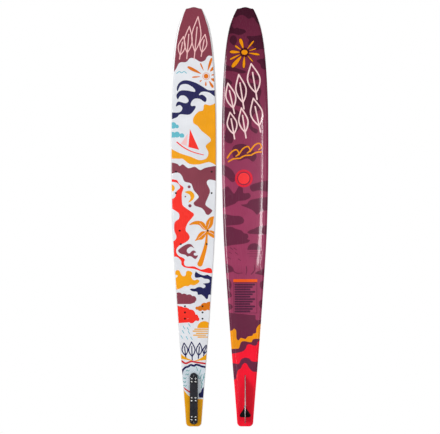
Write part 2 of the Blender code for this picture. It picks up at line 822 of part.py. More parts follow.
def main():
    for item in list(bpy.data.objects):
        bpy.data.objects.remove(item)
    pieces = ski_pieces()
    materials = {name: make_material(name) for name in MATERIALS}
    for name, mesh, material, place, turn in pieces:
        mesh.materials.clear()
        mesh.materials.append(materials[material])
        mesh.shade_smooth()
        mesh.set_sharp_from_angle(angle=SHARP_ANGLE)
    collection = bpy.data.collections.new("water_ski_pair")
    bpy.context.scene.collection.children.link(collection)
    place_ski("left", -SKI_SPACING / 2, 0.0, pieces, collection)
    place_ski("right", SKI_SPACING / 2, math.pi, pieces, collection)


main()
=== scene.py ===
"""Looks of the water ski pair: printed skins, fin hardware, materials, light and camera.

Every piece is made once in the ski's own frame and placed twice, as in the CAD model: X across
the ski, Z from the tail to the tip, and height h above the base's flat at Y = BASE_Y - h. The
left ski shows its deck towards -Y. The right ski is turned half round and shows its base.
"""

import math

import bmesh
import bpy
from mathutils import Euler, Matrix, Vector
from mathutils.geometry import delaunay_2d_cdt


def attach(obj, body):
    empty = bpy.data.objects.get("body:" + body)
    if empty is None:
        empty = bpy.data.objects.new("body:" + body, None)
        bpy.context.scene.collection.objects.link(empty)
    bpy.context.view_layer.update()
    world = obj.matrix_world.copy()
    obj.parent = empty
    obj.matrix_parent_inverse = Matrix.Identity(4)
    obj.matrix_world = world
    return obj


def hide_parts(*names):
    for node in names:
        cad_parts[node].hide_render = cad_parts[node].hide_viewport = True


MM = 0.001

# Ski body, the same dimensions as the CAD model's
LENGTH = 1.549
SKI_SPACING = 0.190
GAP = 0.0003
BASE_Y = 0.0095
TAIL_THICKNESS = 0.012
WAIST_THICKNESS = 0.019
TIP_THICKNESS = 0.009
RAMP_START = 0.215
RAMP_END = 0.365
ROCKER_START = 1.000
ROCKER_RISE = 0.058
ROCKER_POWER = 2.3
SKIN = 0.0015
TUNNEL_DEPTH = 0.0035
TUNNEL_TAIL_DEPTH = 0.002
TUNNEL_TAIL_RUNOUT = 0.03
TUNNEL_TIP_RUNOUT = 0.20
LINE_BASE = 0.002
LINE_SHARE = 0.21
BEVEL_BASE = 0.004
BEVEL_SHARE = 0.083
BEVEL_FULL_WIDTH = 0.03
BEVEL_CROWN = 0.4
WALL_TAIL_INSET = 0.0015
WALL_INSET_GROWTH = 0.0045
WALL_INSET_POWER = 1.3
WALL_TIP_SHARE = 0.3
WALL_TIP_RUNOUT = 0.06
DECK_EDGE_RADIUS = 0.0025
DECK_EDGE_SHARE = 0.35
HALF_WIDTHS = (
    (0.000, 0.0285), (0.100, 0.0360), (0.300, 0.0520), (0.500, 0.0665), (0.700, 0.0791),
    (0.900, 0.0850), (1.060, 0.0860), (1.180, 0.0845), (1.300, 0.0793), (1.400, 0.0711),
    (1.470, 0.0592), (1.510, 0.0459), (1.542, 0.0307),
)
TAIL_CORNER = 0.014
TIP_CORNER = 0.004
NOSE_START = 1.490
NOSE_DROP = 0.0055
END_PINCH_LENGTH = 0.006
END_PINCH = 0.55
RAIL_RADIUS = 0.0012
RAIL_SHARE = 0.2
END_WALL = 0.004
FLAT_MARGIN = 0.001

# Grid of the skins' flat sheets, and how finely the print is cut into them
TAIL_ROWS = 12
MIDDLE_ROWS = 150
NOSE_ROWS = 20
DECK_COLUMNS = 4
DECK_EDGE_ANGLES = (0, 25, 50, 72)
BASE_COLUMNS = 8
BEVEL_COLUMNS = 5
SHEET_REACH = 0.2
CUT_TOLERANCE = 1e-6
SAME_POINT = 1e-7

# A little thinner than the CAD skin, to stay clear of the sealed core
SHELL_THICKNESS = 0.85 * SKIN

# Holes of the deck
INSERT_HOLE_RADIUS = 0.0025
COLLAR_RADIUS = 0.0036
INSERT_ROWS = ((0.862, 0.132), (0.941, 0.132), (0.6735, 0.096), (0.723, 0.1035),
               (0.398, 0.065), (0.421, 0.065), (0.444, 0.065))
SLOT_TAIL = 0.011
SLOT_FRONT = 0.1905
SLOT_HALF_WIDTH = 0.00175
SCREW_COLUMN = 0.0072
SCREW_GROUPS = (0.0297, 0.1003, 0.1705)
SCREW_ROW_OFFSET = 0.0056
SCREW_SHANK = 0.002

# Fin block, its hold-down screws and its two clamp screws
BLOCK_TAIL = 0.0078
BLOCK_SHOULDER = 0.1795
BLOCK_FRONT = 0.1980
BLOCK_HALF_WIDTH = 0.01475
BLOCK_HEIGHT = 0.013
BLOCK_TAIL_RADIUS = 0.0125
BLOCK_EDGE = 0.0012
BLOCK_TRAVEL = 0.005
BLOCK_ROOF = 0.0015
SCREW_HEAD = 0.0033
SCREW_HEAD_HEIGHT = 0.0021
SCREW_LENGTH = 0.0186
CLAMP_PLACES = {"clamp_screw_rear": 0.067, "clamp_screw_front": 0.137}
CLAMP_HEIGHT = 0.006
CLAMP_HEAD = 0.0035
CLAMP_HEAD_HEIGHT = 0.0026
CLAMP_BLIND_END = 0.0035

# Fin and wing
FIN_TAIL = 0.0175
FIN_FRONT = 0.1835
FIN_HALF_THICKNESS = 0.0014
FIN_EDGE = 0.0009
FIN_TAB = 0.0075
FIN_DEPTH = 0.063
FIN_TRAVEL = 0.003
FIN_SWEEP_HANDLE = 0.116
FIN_TIP = 0.046
FIN_HEEL_RADIUS = 0.010
FIN_HEEL_ANGLES = (270, 190)
WING_HEIGHT = -0.050
WING_THICKNESS = 0.0018
WING_HALF_SPAN = 0.0205
WING_TAIL = 0.0335
WING_FRONT = 0.0777
WING_EDGE = 0.0006
WING_TIP_RADIUS = 0.0075
WING_TIP_END_ANGLE = 36
WING_FRONT_HANDLE = (0.0113, 0.0563)
WING_NECK = 0.0690
FLANGE_THICKNESS = 0.0015
FLANGE_RISE = 0.008
FLANGE_TAIL = 0.0450
PIVOT_PLACE = (0.0720, -0.0450)
LOCK_PLACE = (0.0520, -0.0450)
WING_TRAVEL = math.radians(12)
WING_SHANK = 0.0015
WING_HEAD = 0.0026
WING_HEAD_HEIGHT = 0.0011

# Rims, screw sockets, and the angles that are rounded and that stay sharp in the shading
RIM = 0.0003
SOCKET_SHARE = 0.5
SOCKET_DEPTH_SHARE = 0.6
SOCKET_SIDES = 6
LATHE_STEPS = 24
BEVEL_ANGLE = math.radians(40)
SHARP_ANGLE = math.radians(30)

# Drawing planes, (x, z) from above the deck and (z, height) from the side, and facing directions
DECK_PLAN = Matrix(((1, 0, 0, 0), (0, 0, -1, 0), (0, 1, 0, 0), (0, 0, 0, 1)))
SIDE_VIEW = Matrix(((0, 0, 1, 0), (0, -1, 0, 0), (1, 0, 0, 0), (0, 0, 0, 1)))
FACING_DECK = (math.pi / 2, 0, 0)
FACING_STARBOARD = (0, math.pi / 2, 0)

# A screw's domed head, as shares of the head's radius and of its height
HEAD_CURVE = ((0.72, 0.9), (0.92, 0.66), (1, 0.35), (1, 0))

# Drawn leaves, as shares of their length and of half their width: where the two sides bow out,
# where the midrib starts and ends, and the outline of a solid petal
LEAF_BOW = ((0.25, 0.8), (0.55, 1))
RIB_START = -0.22
RIB_END = 0.7
PETAL_SIDE = ((0.3, 0.7), (0.68, 1), (0.93, 0.7))

# Colours as seen in daylight, in 8-bit steps
INKS = {
    "snow": (224, 226, 231),
    "plum": (134, 58, 74),
    "orange": (216, 112, 4),
    "gold": (240, 160, 0),
    "ochre": (232, 162, 0),
    "navy": (30, 30, 84),
    "teal": (98, 182, 198),
    "mist": (206, 218, 226),
    "sage": (86, 158, 158),
    "red": (244, 44, 32),
    "brick": (200, 42, 48),
    "blush": (240, 190, 190),
    "wall": (252, 252, 253),
    "wine": (156, 58, 94),
    "night": (106, 38, 66),
    "flame": (255, 16, 48),
    "rose": (250, 214, 214),
    "amber": (246, 152, 0),
    "ruby": (222, 34, 58),
    "scarlet": (252, 56, 60),
    "tag": (244, 92, 16),
    "dusk": (84, 32, 62),
    "shade": (70, 16, 26),
    "tangerine": (228, 132, 0),
    "black": (10, 10, 12),
}

# Painted shade towards the tip, where the rockered nose turns away from the light: the inks it darkens,
# where it starts and ends, and how dark it goes
TIP_SHADE_INKS = ("wine", "night", "dusk")
TIP_SHADE_START = 0.85
TIP_SHADE_END = 1.50
TIP_SHADE_DEPTH = 0.42

# Depth of the surfaces' fine relief
PEEL_RELIEF = 0.01 * MM
SCRATCH_RELIEF = 0.01 * MM
GRINDING_RELIEF = 0.04 * MM
PEBBLE_RELIEF = 0.06 * MM
BRUSH_RELIEF = 0.02 * MM
FOAM_RELIEF = 0.3 * MM
PAPER_RELIEF = 0.2 * MM

# Light of the surroundings on matt and on glossy surfaces, and the paper floor
SKY_LIGHT = 0.38
SKY_GLOSS = 0.05
FLOOR_GLOW = 0.22
FLOOR_RADIUS = 4.0
FLOOR_DROP = 0.0005

# Area lights: name, place, the point it faces, width and height, watts
LIGHTS = (
    ("key", (-2.4, -2.0, 1.3), (0, 0, 0.8), (0.5, 2.0), 50),
    ("strip", (-0.35, -3.0, 1.02), (-0.35, 0, 1.02), (0.08, 0.80), 4.6),
    ("fill", (1.6, -3.0, 0.9), (0, 0, 0.8), (1.5, 1.5), 16),
    ("rim", (2.8, 1.3, 1.0), (0, 0, 0.8), (0.8, 1.8), 20),
)
CAMERA_PLACE = (0.002, -6.0, 0.7736)
CAMERA_SCALE = 1.6254

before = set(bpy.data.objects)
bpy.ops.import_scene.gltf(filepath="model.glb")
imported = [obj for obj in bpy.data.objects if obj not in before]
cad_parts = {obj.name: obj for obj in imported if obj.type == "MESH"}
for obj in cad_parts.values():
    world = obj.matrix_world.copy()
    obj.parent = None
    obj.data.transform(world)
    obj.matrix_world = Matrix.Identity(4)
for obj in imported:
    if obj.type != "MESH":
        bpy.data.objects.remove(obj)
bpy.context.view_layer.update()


# ---------------------------------------------------------------- curves of the ski

def ease(fraction):
    """Smooth step from 0 to 1, flat at both ends."""
    fraction = min(max(fraction, 0.0), 1.0)
    return fraction * fraction * (3 - 2 * fraction)


def through_points(points, place):
    """Smooth curve through (place, value) points, with slopes taken from their neighbours."""
    last = len(points) - 1
    place = min(max(place, points[0][0]), points[last][0])
    index = next(i for i in range(last) if place <= points[i + 1][0])

    def slope(i):
        before, after = points[max(i - 1, 0)], points[min(i + 1, last)]
        return (after[1] - before[1]) / (after[0] - before[0])

    (x0, y0), (x1, y1) = points[index], points[index + 1]
    span = x1 - x0
    t = (place - x0) / span
    start = (1 + 2 * t) * (1 - t) ** 2 * y0 + t * (1 - t) ** 2 * span * slope(index)
    return start + t * t * (3 - 2 * t) * y1 + t * t * (t - 1) * span * slope(index + 1)


def corner_inset(distance, radius):
    if distance >= radius:
        return 0.0
    return radius - math.sqrt(max(radius ** 2 - (radius - distance) ** 2, 0.0))


def nose_drop(z):
    return NOSE_DROP * ease((z - NOSE_START) / (LENGTH - NOSE_START))


def half_width(z):
    """Half width of the ski's widest line for the ring whose middle is at z."""
    width = through_points(HALF_WIDTHS, z - nose_drop(z))
    return width - corner_inset(z, TAIL_CORNER) - corner_inset(LENGTH - z, TIP_CORNER)


def thickness(z):
    ramp = ease((z - RAMP_START) / (RAMP_END - RAMP_START))
    taper = ease((z - ROCKER_START) / (LENGTH - ROCKER_START))
    rise, fall = WAIST_THICKNESS - TAIL_THICKNESS, WAIST_THICKNESS - TIP_THICKNESS
    return TAIL_THICKNESS + rise * ramp - fall * taper


def rocker(z):
    return ROCKER_RISE * (max(z - ROCKER_START, 0.0) / (LENGTH - ROCKER_START)) ** ROCKER_POWER


def tunnel_depth(z):
    grow = TUNNEL_TAIL_DEPTH + (TUNNEL_DEPTH - TUNNEL_TAIL_DEPTH) * ease(z / RAMP_END)
    return grow * ease(z / TUNNEL_TAIL_RUNOUT) * ease((LENGTH - z) / TUNNEL_TIP_RUNOUT)


def wall_inset(z):
    """How much narrower the deck's print is than the ski's widest line."""
    inset = WALL_TAIL_INSET + WALL_INSET_GROWTH * (z / LENGTH) ** WALL_INSET_POWER
    near_tip = ease((LENGTH - z) / WALL_TIP_RUNOUT)
    return inset * (WALL_TIP_SHARE + (1 - WALL_TIP_SHARE) * near_tip)


def line_height(z):
    """Height of the widest line, where the deck skin meets the base skin."""
    return LINE_BASE + LINE_SHARE * thickness(z)


def half_parting(z):
    """Half the gap between the two skins."""
    return GAP / 2 * (1 + ease((z - NOSE_START) / (LENGTH - NOSE_START)))


def rail_place(z):
    """Half width between the rails, where the slanted bevels begin."""
    width = half_width(z)
    return width - (BEVEL_BASE + BEVEL_SHARE * width) * min(1.0, width / BEVEL_FULL_WIDTH)


def edge_radius(z):
    return min(DECK_EDGE_RADIUS, DECK_EDGE_SHARE * (thickness(z) - line_height(z)))


def deck_height(x, z):
    """The deck across the ski: flat, a round edge, then the pale side wall."""
    x, top, radius = abs(x), thickness(z), edge_radius(z)
    edge = half_width(z) - wall_inset(z)
    if x <= edge - radius:
        return top
    if x <= edge:
        return top - radius + math.sqrt(max(radius ** 2 - (x - edge + radius) ** 2, 0.0))
    down = (x - edge) / wall_inset(z)
    return top - radius + (line_height(z) + half_parting(z) - top + radius) * down


def base_height(x, z):
    """The base across the ski: a concave hollow, a softened rail, then a crowned bevel."""
    x, rail, side = abs(x), rail_place(z), half_width(z)
    hollow = tunnel_depth(z) * (1 - (min(x, rail) / rail) ** 2)
    past = x - rail
    if past <= -RAIL_RADIUS:
        return hollow
    soft = (past + RAIL_RADIUS) ** 2 / (4 * RAIL_RADIUS) if past < RAIL_RADIUS else past
    across = soft / (side - rail)
    crowned = across - BEVEL_CROWN * across * (1 - across)
    return hollow + (line_height(z) - half_parting(z)) * crowned


def ski_point(x, height, z):
    """A point of the ski's frame, with the end pinch, the rocker and the nose's round outline."""
    middle = thickness(z) / 2
    from_end = min(min(z, LENGTH - z) / END_PINCH_LENGTH, 1.0)
    pinch = END_PINCH + (1 - END_PINCH) * math.sqrt(1 - (1 - from_end) ** 2)
    lifted = middle + (height - middle) * pinch + rocker(z)
    drop = nose_drop(z) * (1 - math.cos(math.pi * x / half_width(z))) / 2
    return Vector((x, BASE_Y - lifted, z - drop))


def on_ski(v):
    """The ski's own place for a row of a flat sheet, which reaches past both ends."""
    return min(max(v, 0.0), LENGTH)


def sheet_point(x, v, surface):
    """A point of a skin from its flat sheet, whose margins past both ends are the end walls."""
    z = on_ski(v)
    down = abs(v - z) / END_WALL
    height = surface(x, z)
    return ski_point(x, height + (line_height(z) - height) * down, z)


# ---------------------------------------------------------------- drawing on the sheets

def smooth(points, closed=True, steps=4):
    """A smooth curve through given points."""
    line = [Vector(point) for point in points]
    line = [line[-1], *line, *line[:2]] if closed else [line[0], *line, line[-1]]
    result = []
    for p0, p1, p2, p3 in zip(line, line[1:], line[2:], line[3:]):
        for step in range(steps):
            t = step / steps
            result.append((p1 * 2 + (p2 - p0) * t + (p0 * 2 - p1 * 5 + p2 * 4 - p3) * t * t
                           + (p1 * 3 - p0 - p2 * 3 + p3) * t ** 3) / 2)
    return result if closed else result + [line[-1]]


def arc_points(centre, radius, start, end, steps):
    """Points on a circle's arc, from one angle in degrees to another."""
    angles = [math.radians(start + (end - start) * i / steps) for i in range(steps + 1)]
    return [Vector((centre[0] + radius * math.cos(a), centre[1] + radius * math.sin(a)))
            for a in angles]


def circle(centre, radius, steps):
    return arc_points(centre, radius, 0, 360, steps)[:-1]


def blob(ink, *points):
    """One smooth shape. Art is a list of such (ink, outline) pairs in drawing order."""
    return [(ink, smooth(points))]


def blobs(*patches):
    """Blobs in drawing order, each given as its ink and then its points."""
    return [piece for ink, *points in patches for piece in blob(ink, *points)]


def shape(ink, *points):
    """One shape with straight sides."""
    return [(ink, [Vector(point) for point in points])]


def spot(ink, x, z, radius, tall=1.0):
    """A disc, or an oval when tall isn't 1."""
    return [(ink, [Vector((x + p.x, z + p.y * tall)) for p in circle((0, 0), radius, steps=20)])]


def cloud(ink, *puffs):
    """Round puffs (x, z, radius) that run together."""
    return [piece for x, z, radius in puffs for piece in spot(ink, x, z, radius)]


def stroke(ink, points, start, end=None):
    """A brush line with round ends, whose width runs from start to end."""
    end = start if end is None else end
    line = smooth(points, closed=False, steps=5)
    last = len(line) - 1
    left, right = [], []
    for i, point in enumerate(line):
        along = (line[min(i + 1, last)] - line[max(i - 1, 0)]).normalized()
        reach = (start + (end - start) * i / last) / 2
        side = Vector((-along.y, along.x)) * reach
        left.append(point + side)
        right.append(point - side)
    caps = []
    for point, beside, reach in ((line[-1], left[-1], end / 2), (line[0], right[0], start / 2)):
        turn = math.degrees(math.atan2(beside.y - point.y, beside.x - point.x))
        caps.append(arc_points(point, reach, turn, turn - 180, steps=6)[1:-1])
    return [(ink, left + caps[0] + right[::-1] + caps[1])]


def petal(ink, centre, ray, grow=0.0):
    """A long leaf shape that points away from a centre: (angle, inner end, outer end, width)."""
    angle, inner, outer, width = ray
    along = Vector((math.cos(math.radians(angle)), math.sin(math.radians(angle))))
    side = Vector((-along.y, along.x)) * (width / 2 + grow)
    near, far = Vector(centre) + along * (inner - grow), Vector(centre) + along * (outer + grow)
    way = far - near
    left = [near + way * up + side * out for up, out in PETAL_SIDE]
    right = [near + way * up - side * out for up, out in reversed(PETAL_SIDE)]
    return blob(ink, near, *left, far, *right)


def leaf(ink, foot, tip, wide, line):
    """A leaf drawn in line: two bowed sides and a midrib that stops short of the tip."""
    foot, tip = Vector(foot), Vector(tip)
    along = tip - foot
    side = Vector((-along.y, along.x)).normalized() * wide / 2
    art = []
    for way in (-1, 1):
        bow = [foot + along * up + side * way * out for up, out in LEAF_BOW]
        art += stroke(ink, [foot, *bow, tip], line)
    return art + stroke(ink, [foot + along * RIB_START, foot + along * RIB_END], line)


def leaves(ink, line, *places):
    """Leaves of one ink and line width, each given as its foot, its tip and its width."""
    return [piece for foot, tip, wide in places for piece in leaf(ink, foot, tip, wide, line)]


def level_lines(ink, rows, start, end=None):
    """Brush lines across the ski, each given as its height, its left and its right end."""
    return [piece for z, left, right in rows
            for piece in stroke(ink, [(left, z), (right, z)], start, end)]


def deck_art():
    """The deck's shapes in drawing order, in millimetres from its centre line and its tail."""
    art = deck_tip() + deck_sun() + deck_waves() + deck_bay() + deck_river() + deck_splats()
    art += deck_sky() + deck_tail()
    for z, spacing in INSERT_ROWS:
        for side in (-1, 1):
            art += spot("black", side * spacing / 2 / MM, z / MM, COLLAR_RADIUS / MM)
    return art


def deck_tip():
    """A plum tip with pale leaves."""
    art = blob("plum", (-110, 1290), (-71, 1313), (-53, 1343), (-28, 1346), (-14, 1360), (3, 1359),
               (24, 1347), (42, 1353), (56, 1370), (110, 1378), (110, 1600), (-110, 1600))
    return art + leaves("blush", 3.6, ((-50, 1372), (-38, 1440), 24), ((-24, 1380), (-16, 1478), 28),
                        ((4, 1384), (16, 1514), 32), ((30, 1382), (42, 1448), 24))


def deck_sun():
    """A sun with uneven rays and rings, and a little wave beside it."""
    centre = (45.6, 1293.6)
    art = []
    for ray in ((153, 20, 77, 11.7), (114, 22, 53, 5.5), (73, 20, 71, 9.7), (49, 23, 44, 10.7),
                (11, 19, 31, 6), (-26, 20, 37, 11.7), (-58, 21, 50, 9.3), (268, 19, 36, 6.2),
                (221, 21, 31, 5), (184, 21, 52, 5.8)):
        art += petal("orange", centre, ray)
    for ink, radius in (("orange", 13.6), ("snow", 12.0), ("orange", 9.0)):
        art += spot(ink, *centre, radius)
    return art + stroke(
        "teal", [(-63, 1304), (-53, 1311), (-45, 1306), (-36, 1311), (-27, 1305)], 3)


def deck_waves():
    """A breaking wave, as one curled outline."""
    return blob("navy", (-60, 1238), (-62, 1254), (-50, 1272), (-28, 1279), (6, 1270), (38, 1252),
        (56, 1242), (100, 1240), (100, 1212), (76, 1220), (56, 1234), (30, 1236), (19, 1224), (33, 1225),
        (47, 1212), (42, 1198), (22, 1210), (2, 1210), (-10, 1196), (-9, 1184), (6, 1184), (4, 1172),
        (-16, 1152), (-50, 1153), (-64, 1141), (-100, 1132), (-100, 1158), (-54, 1160), (-42, 1176),
        (-52, 1187), (-66, 1182), (-58, 1200), (-30, 1194), (-19, 1204), (-32, 1221), (-50, 1221),
        (-59, 1208), (-64, 1224), (-50, 1240), (-24, 1241), (4, 1236), (0, 1250), (-24, 1264), (-48, 1261))


def deck_bay():
    """A golden shore, teal trees and a sailing boat."""
    art = blob("gold", (39, 1189), (34, 1168), (18, 1163), (0, 1143), (-2, 1122), (14, 1110), (30, 1091),
        (58, 1068), (62, 1054), (44, 1036), (54, 1012), (46, 990), (20, 984), (-10, 996), (-50, 1009),
        (-100, 1030), (-100, 994), (-58, 989), (-40, 988), (-16, 970), (20, 968), (56, 977), (100, 978),
        (100, 1180), (60, 1186))
    art += cloud(
        "teal", (-76, 1112, 12), (-62, 1108, 7), (-78, 1076, 12), (-62, 1078, 11), (-44, 1074, 9))
    art += shape("snow", (-100, 1067), (-30, 1067), (-30, 1055), (-100, 1055))
    art += stroke("red", [(-62, 1050), (-36, 1030), (-4, 1014), (36, 1003)], 5, 3)
    art += shape("red", (-20, 1032), (-14, 1098), (20, 1022))
    art += shape("blush", (-26, 1036), (-22, 1082), (-48, 1044))
    return art


def deck_river():
    """Plum land with a red river that winds down it, and a palm tree."""
    art = blobs(
        ("plum", (-100, 974), (-64, 971), (-52, 962), (-40, 968), (-20, 954), (4, 959), (24, 947),
         (46, 956), (100, 960), (100, 908), (60, 912), (48, 900), (60, 872), (54, 850), (44, 826),
         (46, 815), (66, 801), (68, 795), (60, 785), (53, 781), (45, 785), (40, 795), (30, 806), (17, 811),
         (5, 815), (0, 822), (1, 828), (10, 837), (18, 850), (0, 873), (-10, 897), (-34, 905), (-44, 926),
         (-60, 938), (-100, 934)),
        ("red", (-100, 912), (-65, 911), (-54, 896), (-38, 882), (-44, 860), (-43, 826), (-39, 815),
         (-28, 806), (-12, 795), (-1, 787), (0, 779), (-10, 766), (-21, 753), (-29, 735), (-29, 722),
         (-21, 713), (-15, 700), (-19, 689), (-30, 680), (-50, 670), (-61, 660), (-65, 649), (-62, 638),
         (-54, 629), (-40, 623), (-33, 616), (-36, 607), (-34, 596), (-23, 591), (1, 591), (12, 586),
         (25, 580), (39, 581), (54, 586), (66, 581), (66, 566), (36, 570), (19, 576), (1, 582), (-21, 585),
         (-36, 589), (-45, 598), (-46, 609), (-52, 618), (-65, 627), (-100, 630), (-100, 683), (-74, 685),
         (-66, 693), (-64, 702), (-68, 713), (-72, 726), (-72, 746), (-68, 757), (-56, 766), (-53, 777),
         (-56, 788), (-68, 797), (-79, 804), (-100, 810), (-100, 830), (-70, 846), (-64, 868), (-50, 883),
         (-64, 901), (-100, 905)))
    art += spot("gold", -84, 880, 14)
    art += blob("gold", (-33, 866), (-12, 870), (2, 856), (-2, 838), (-20, 827), (-12, 842), (-16, 856))
    art += spot("plum", -17, 885, 5.5) + spot("plum", -31, 849, 3) + spot("plum", -14, 815, 6)
    art += palm()
    art += blob("plum", (-58, 649), (-48, 660), (-34, 669), (-21, 674), (-10, 673), (-2, 664), (1, 659),
        (-10, 664), (-21, 658), (-26, 649), (-21, 640), (-14, 640), (-8, 647), (1, 650), (9, 643), (1, 640),
        (1, 633), (8, 631), (15, 632), (14, 627), (8, 619), (1, 620), (-8, 627), (-17, 629), (-23, 627),
        (-32, 634), (-48, 638))
    return art


def palm():
    """A palm tree: four broad leaves with pale midribs, and a trunk that widens to its foot."""
    art = stroke(
        "tangerine", [(49, 722), (47, 690), (45, 671), (39, 647), (30, 618), (23, 600)], 6, 20)
    art += blobs(
        ("tangerine", (-17, 744), (-6, 754), (8, 759), (23, 759), (37, 753), (45, 740), (48, 726),
         (39, 726), (30, 733), (23, 741), (16, 745), (1, 746)),
        ("tangerine", (48, 726), (45, 740), (46, 753), (52, 764), (61, 773), (72, 776), (75, 774),
         (73, 762), (71, 748), (65, 737), (56, 728)),
        ("tangerine", (45, 720), (32, 721), (21, 714), (14, 704), (10, 695), (4, 685), (17, 689), (30, 690),
         (39, 698), (45, 709), (48, 718)),
        ("tangerine", (50, 722), (63, 724), (76, 720), (100, 708), (100, 690), (76, 695), (65, 700),
         (56, 706), (50, 713)))
    for ribs in (((46, 722), (38, 731), (29, 742), (22, 750)), ((51, 733), (56, 745), (60, 760)),
                 ((44, 717), (32, 707), (17, 694)), ((56, 719), (68, 713), (78, 707))):
        art += stroke("snow", ribs, 1.6, 1.0)
    return art


def deck_splats():
    """Ragged patches in gold and navy over a row of plum puffs."""
    art = blobs(
        ("gold", (-72, 562), (-69, 570), (-63, 577), (-54, 576), (-49, 567), (-44, 558), (-37, 555),
         (-30, 559), (-28, 571), (-21, 575), (-10, 572), (-5, 565), (-9, 554), (-5, 544), (3, 540),
         (14, 543), (21, 538), (18, 531), (8, 524), (-1, 521), (-11, 523), (-21, 518), (-34, 518),
         (-44, 512), (-65, 505), (-100, 503), (-100, 545), (-72, 547), (-60, 554), (-62, 559)),
        ("navy", (4, 563), (8, 572), (14, 567), (28, 560), (39, 558), (52, 560), (65, 553), (100, 548),
         (100, 486), (60, 487), (54, 482), (52, 472), (46, 471), (38, 480), (28, 487), (16, 486), (12, 497),
         (-4, 499), (-14, 506), (-8, 509), (5, 509), (14, 514), (25, 515), (36, 511), (43, 516), (41, 523),
         (34, 527), (45, 529), (56, 531), (59, 538), (54, 544), (39, 546), (28, 551), (10, 549), (4, 554)))
    art += cloud("plum", (-56, 478, 17), (-36, 476, 15), (-17, 474, 14), (-2, 470, 12))
    art += shape("plum", (-100, 492), (-56, 480), (-2, 466), (5, 458), (-12, 452), (-100, 452))
    return art


def deck_sky():
    """Two clouds, a half sun over its lines, and slanting rain."""
    art = cloud("orange", (58, 445, 16), (40, 442, 15), (24, 436, 10), (12, 437, 6))
    art += shape("orange", (8, 431), (100, 431), (100, 458), (60, 452), (22, 440))
    art += cloud(
        "red", (-50, 422, 22), (-32, 418, 22), (-12, 414, 18), (6, 402, 12), (-8, 394, 13), (14, 396, 7))
    art += shape("red", (-100, 446), (-56, 446), (-30, 400), (8, 390), (-20, 384), (-100, 379))
    art += [("gold", arc_points((39, 363), 26, 0, 180, steps=16))]
    art += level_lines("ochre", ((359, 4, 60), (352, -2, 50), (344, 10, 58), (337, 0, 44),
                                 (330, 16, 56)), 4.8, 3.4)
    for x, z in ((-36, 365), (-21, 360), (-39, 349), (-17, 346), (-44, 330), (-25, 327),
                 (-8, 325), (-16, 374)):
        art += stroke("teal", [(x - 3, z + 5), (x + 3, z - 5)], 3.2, 2.2)
    return art


def deck_tail():
    """Navy leaves, a pale patch with grass round the fin block, and the ochre tail."""
    art = leaves("navy", 4.2, ((-30, 262), (-36, 308), 20), ((-6, 258), (-8, 312), 22),
                 ((18, 262), (22, 308), 20), ((38, 268), (46, 300), 14))
    art += blobs(
        ("ochre", (-54, 272), (-40, 262), (-24, 252), (-4, 243), (-22, 245), (-40, 249), (-54, 253)),
        ("ochre", (54, 274), (40, 262), (22, 250), (2, 242), (24, 243), (40, 245), (54, 246)))
    art += stroke("brick", [(-48, 244), (-30, 233), (-9, 240), (15, 236), (44, 232)], 7, 6.5)
    art += blob("mist", (-60, 190), (-43, 190), (-42, 205), (-32, 217), (-11, 227), (8, 228), (29, 222),
        (60, 219), (60, 90), (-60, 90))
    art += stroke(
        "navy", [(-45, 186), (-42, 205), (-32, 217), (-21, 221), (-11, 227), (1, 224), (8, 228), (20, 226),
        (29, 222), (44, 219)], 7.5)
    for x, z in ((-36, 176), (-37, 162), (-35, 148), (-26, 190), (-24, 204)):
        art += stroke("sage", [(x - 4, z), (x, z + 4), (x + 4, z), (x + 8, z + 4)], 2.4)
    for x, z, lean in ((20, 176, -8), (24, 176, 7), (31, 156, -7), (32, 168, 9), (14, 206, -6),
                       (22, 196, 6), (36, 180, 4), (28, 142, 5)):
        art += stroke("sage", [(x, z), (x + lean * 0.4, z + 9), (x + lean, z + 16)], 2.8, 1.8)
    art += stroke("brick", [(-42, 146), (-27, 135), (-12, 125)], 5, 5)
    art += blobs(
        ("navy", (50, 148), (34, 143), (30, 138), (26, 127), (18, 120), (20, 108), (31, 105), (34, 99),
         (50, 96)),
        ("snow", (-46, 148), (-34, 137), (-18, 119), (4, 108), (16, 106), (34, 106), (50, 104), (60, -30),
         (-60, -30)),
        ("ochre", (-46, 140), (-34, 130), (-18, 113), (4, 103), (16, 101), (34, 101), (50, 98), (60, -30),
         (-60, -30)))
    return art


def base_art():
    """The base's shapes, in millimetres, with +X to the right as one looks at the base."""
    return camo() + sunset_print() + base_tail() + sun_print() + line_print() + badge()


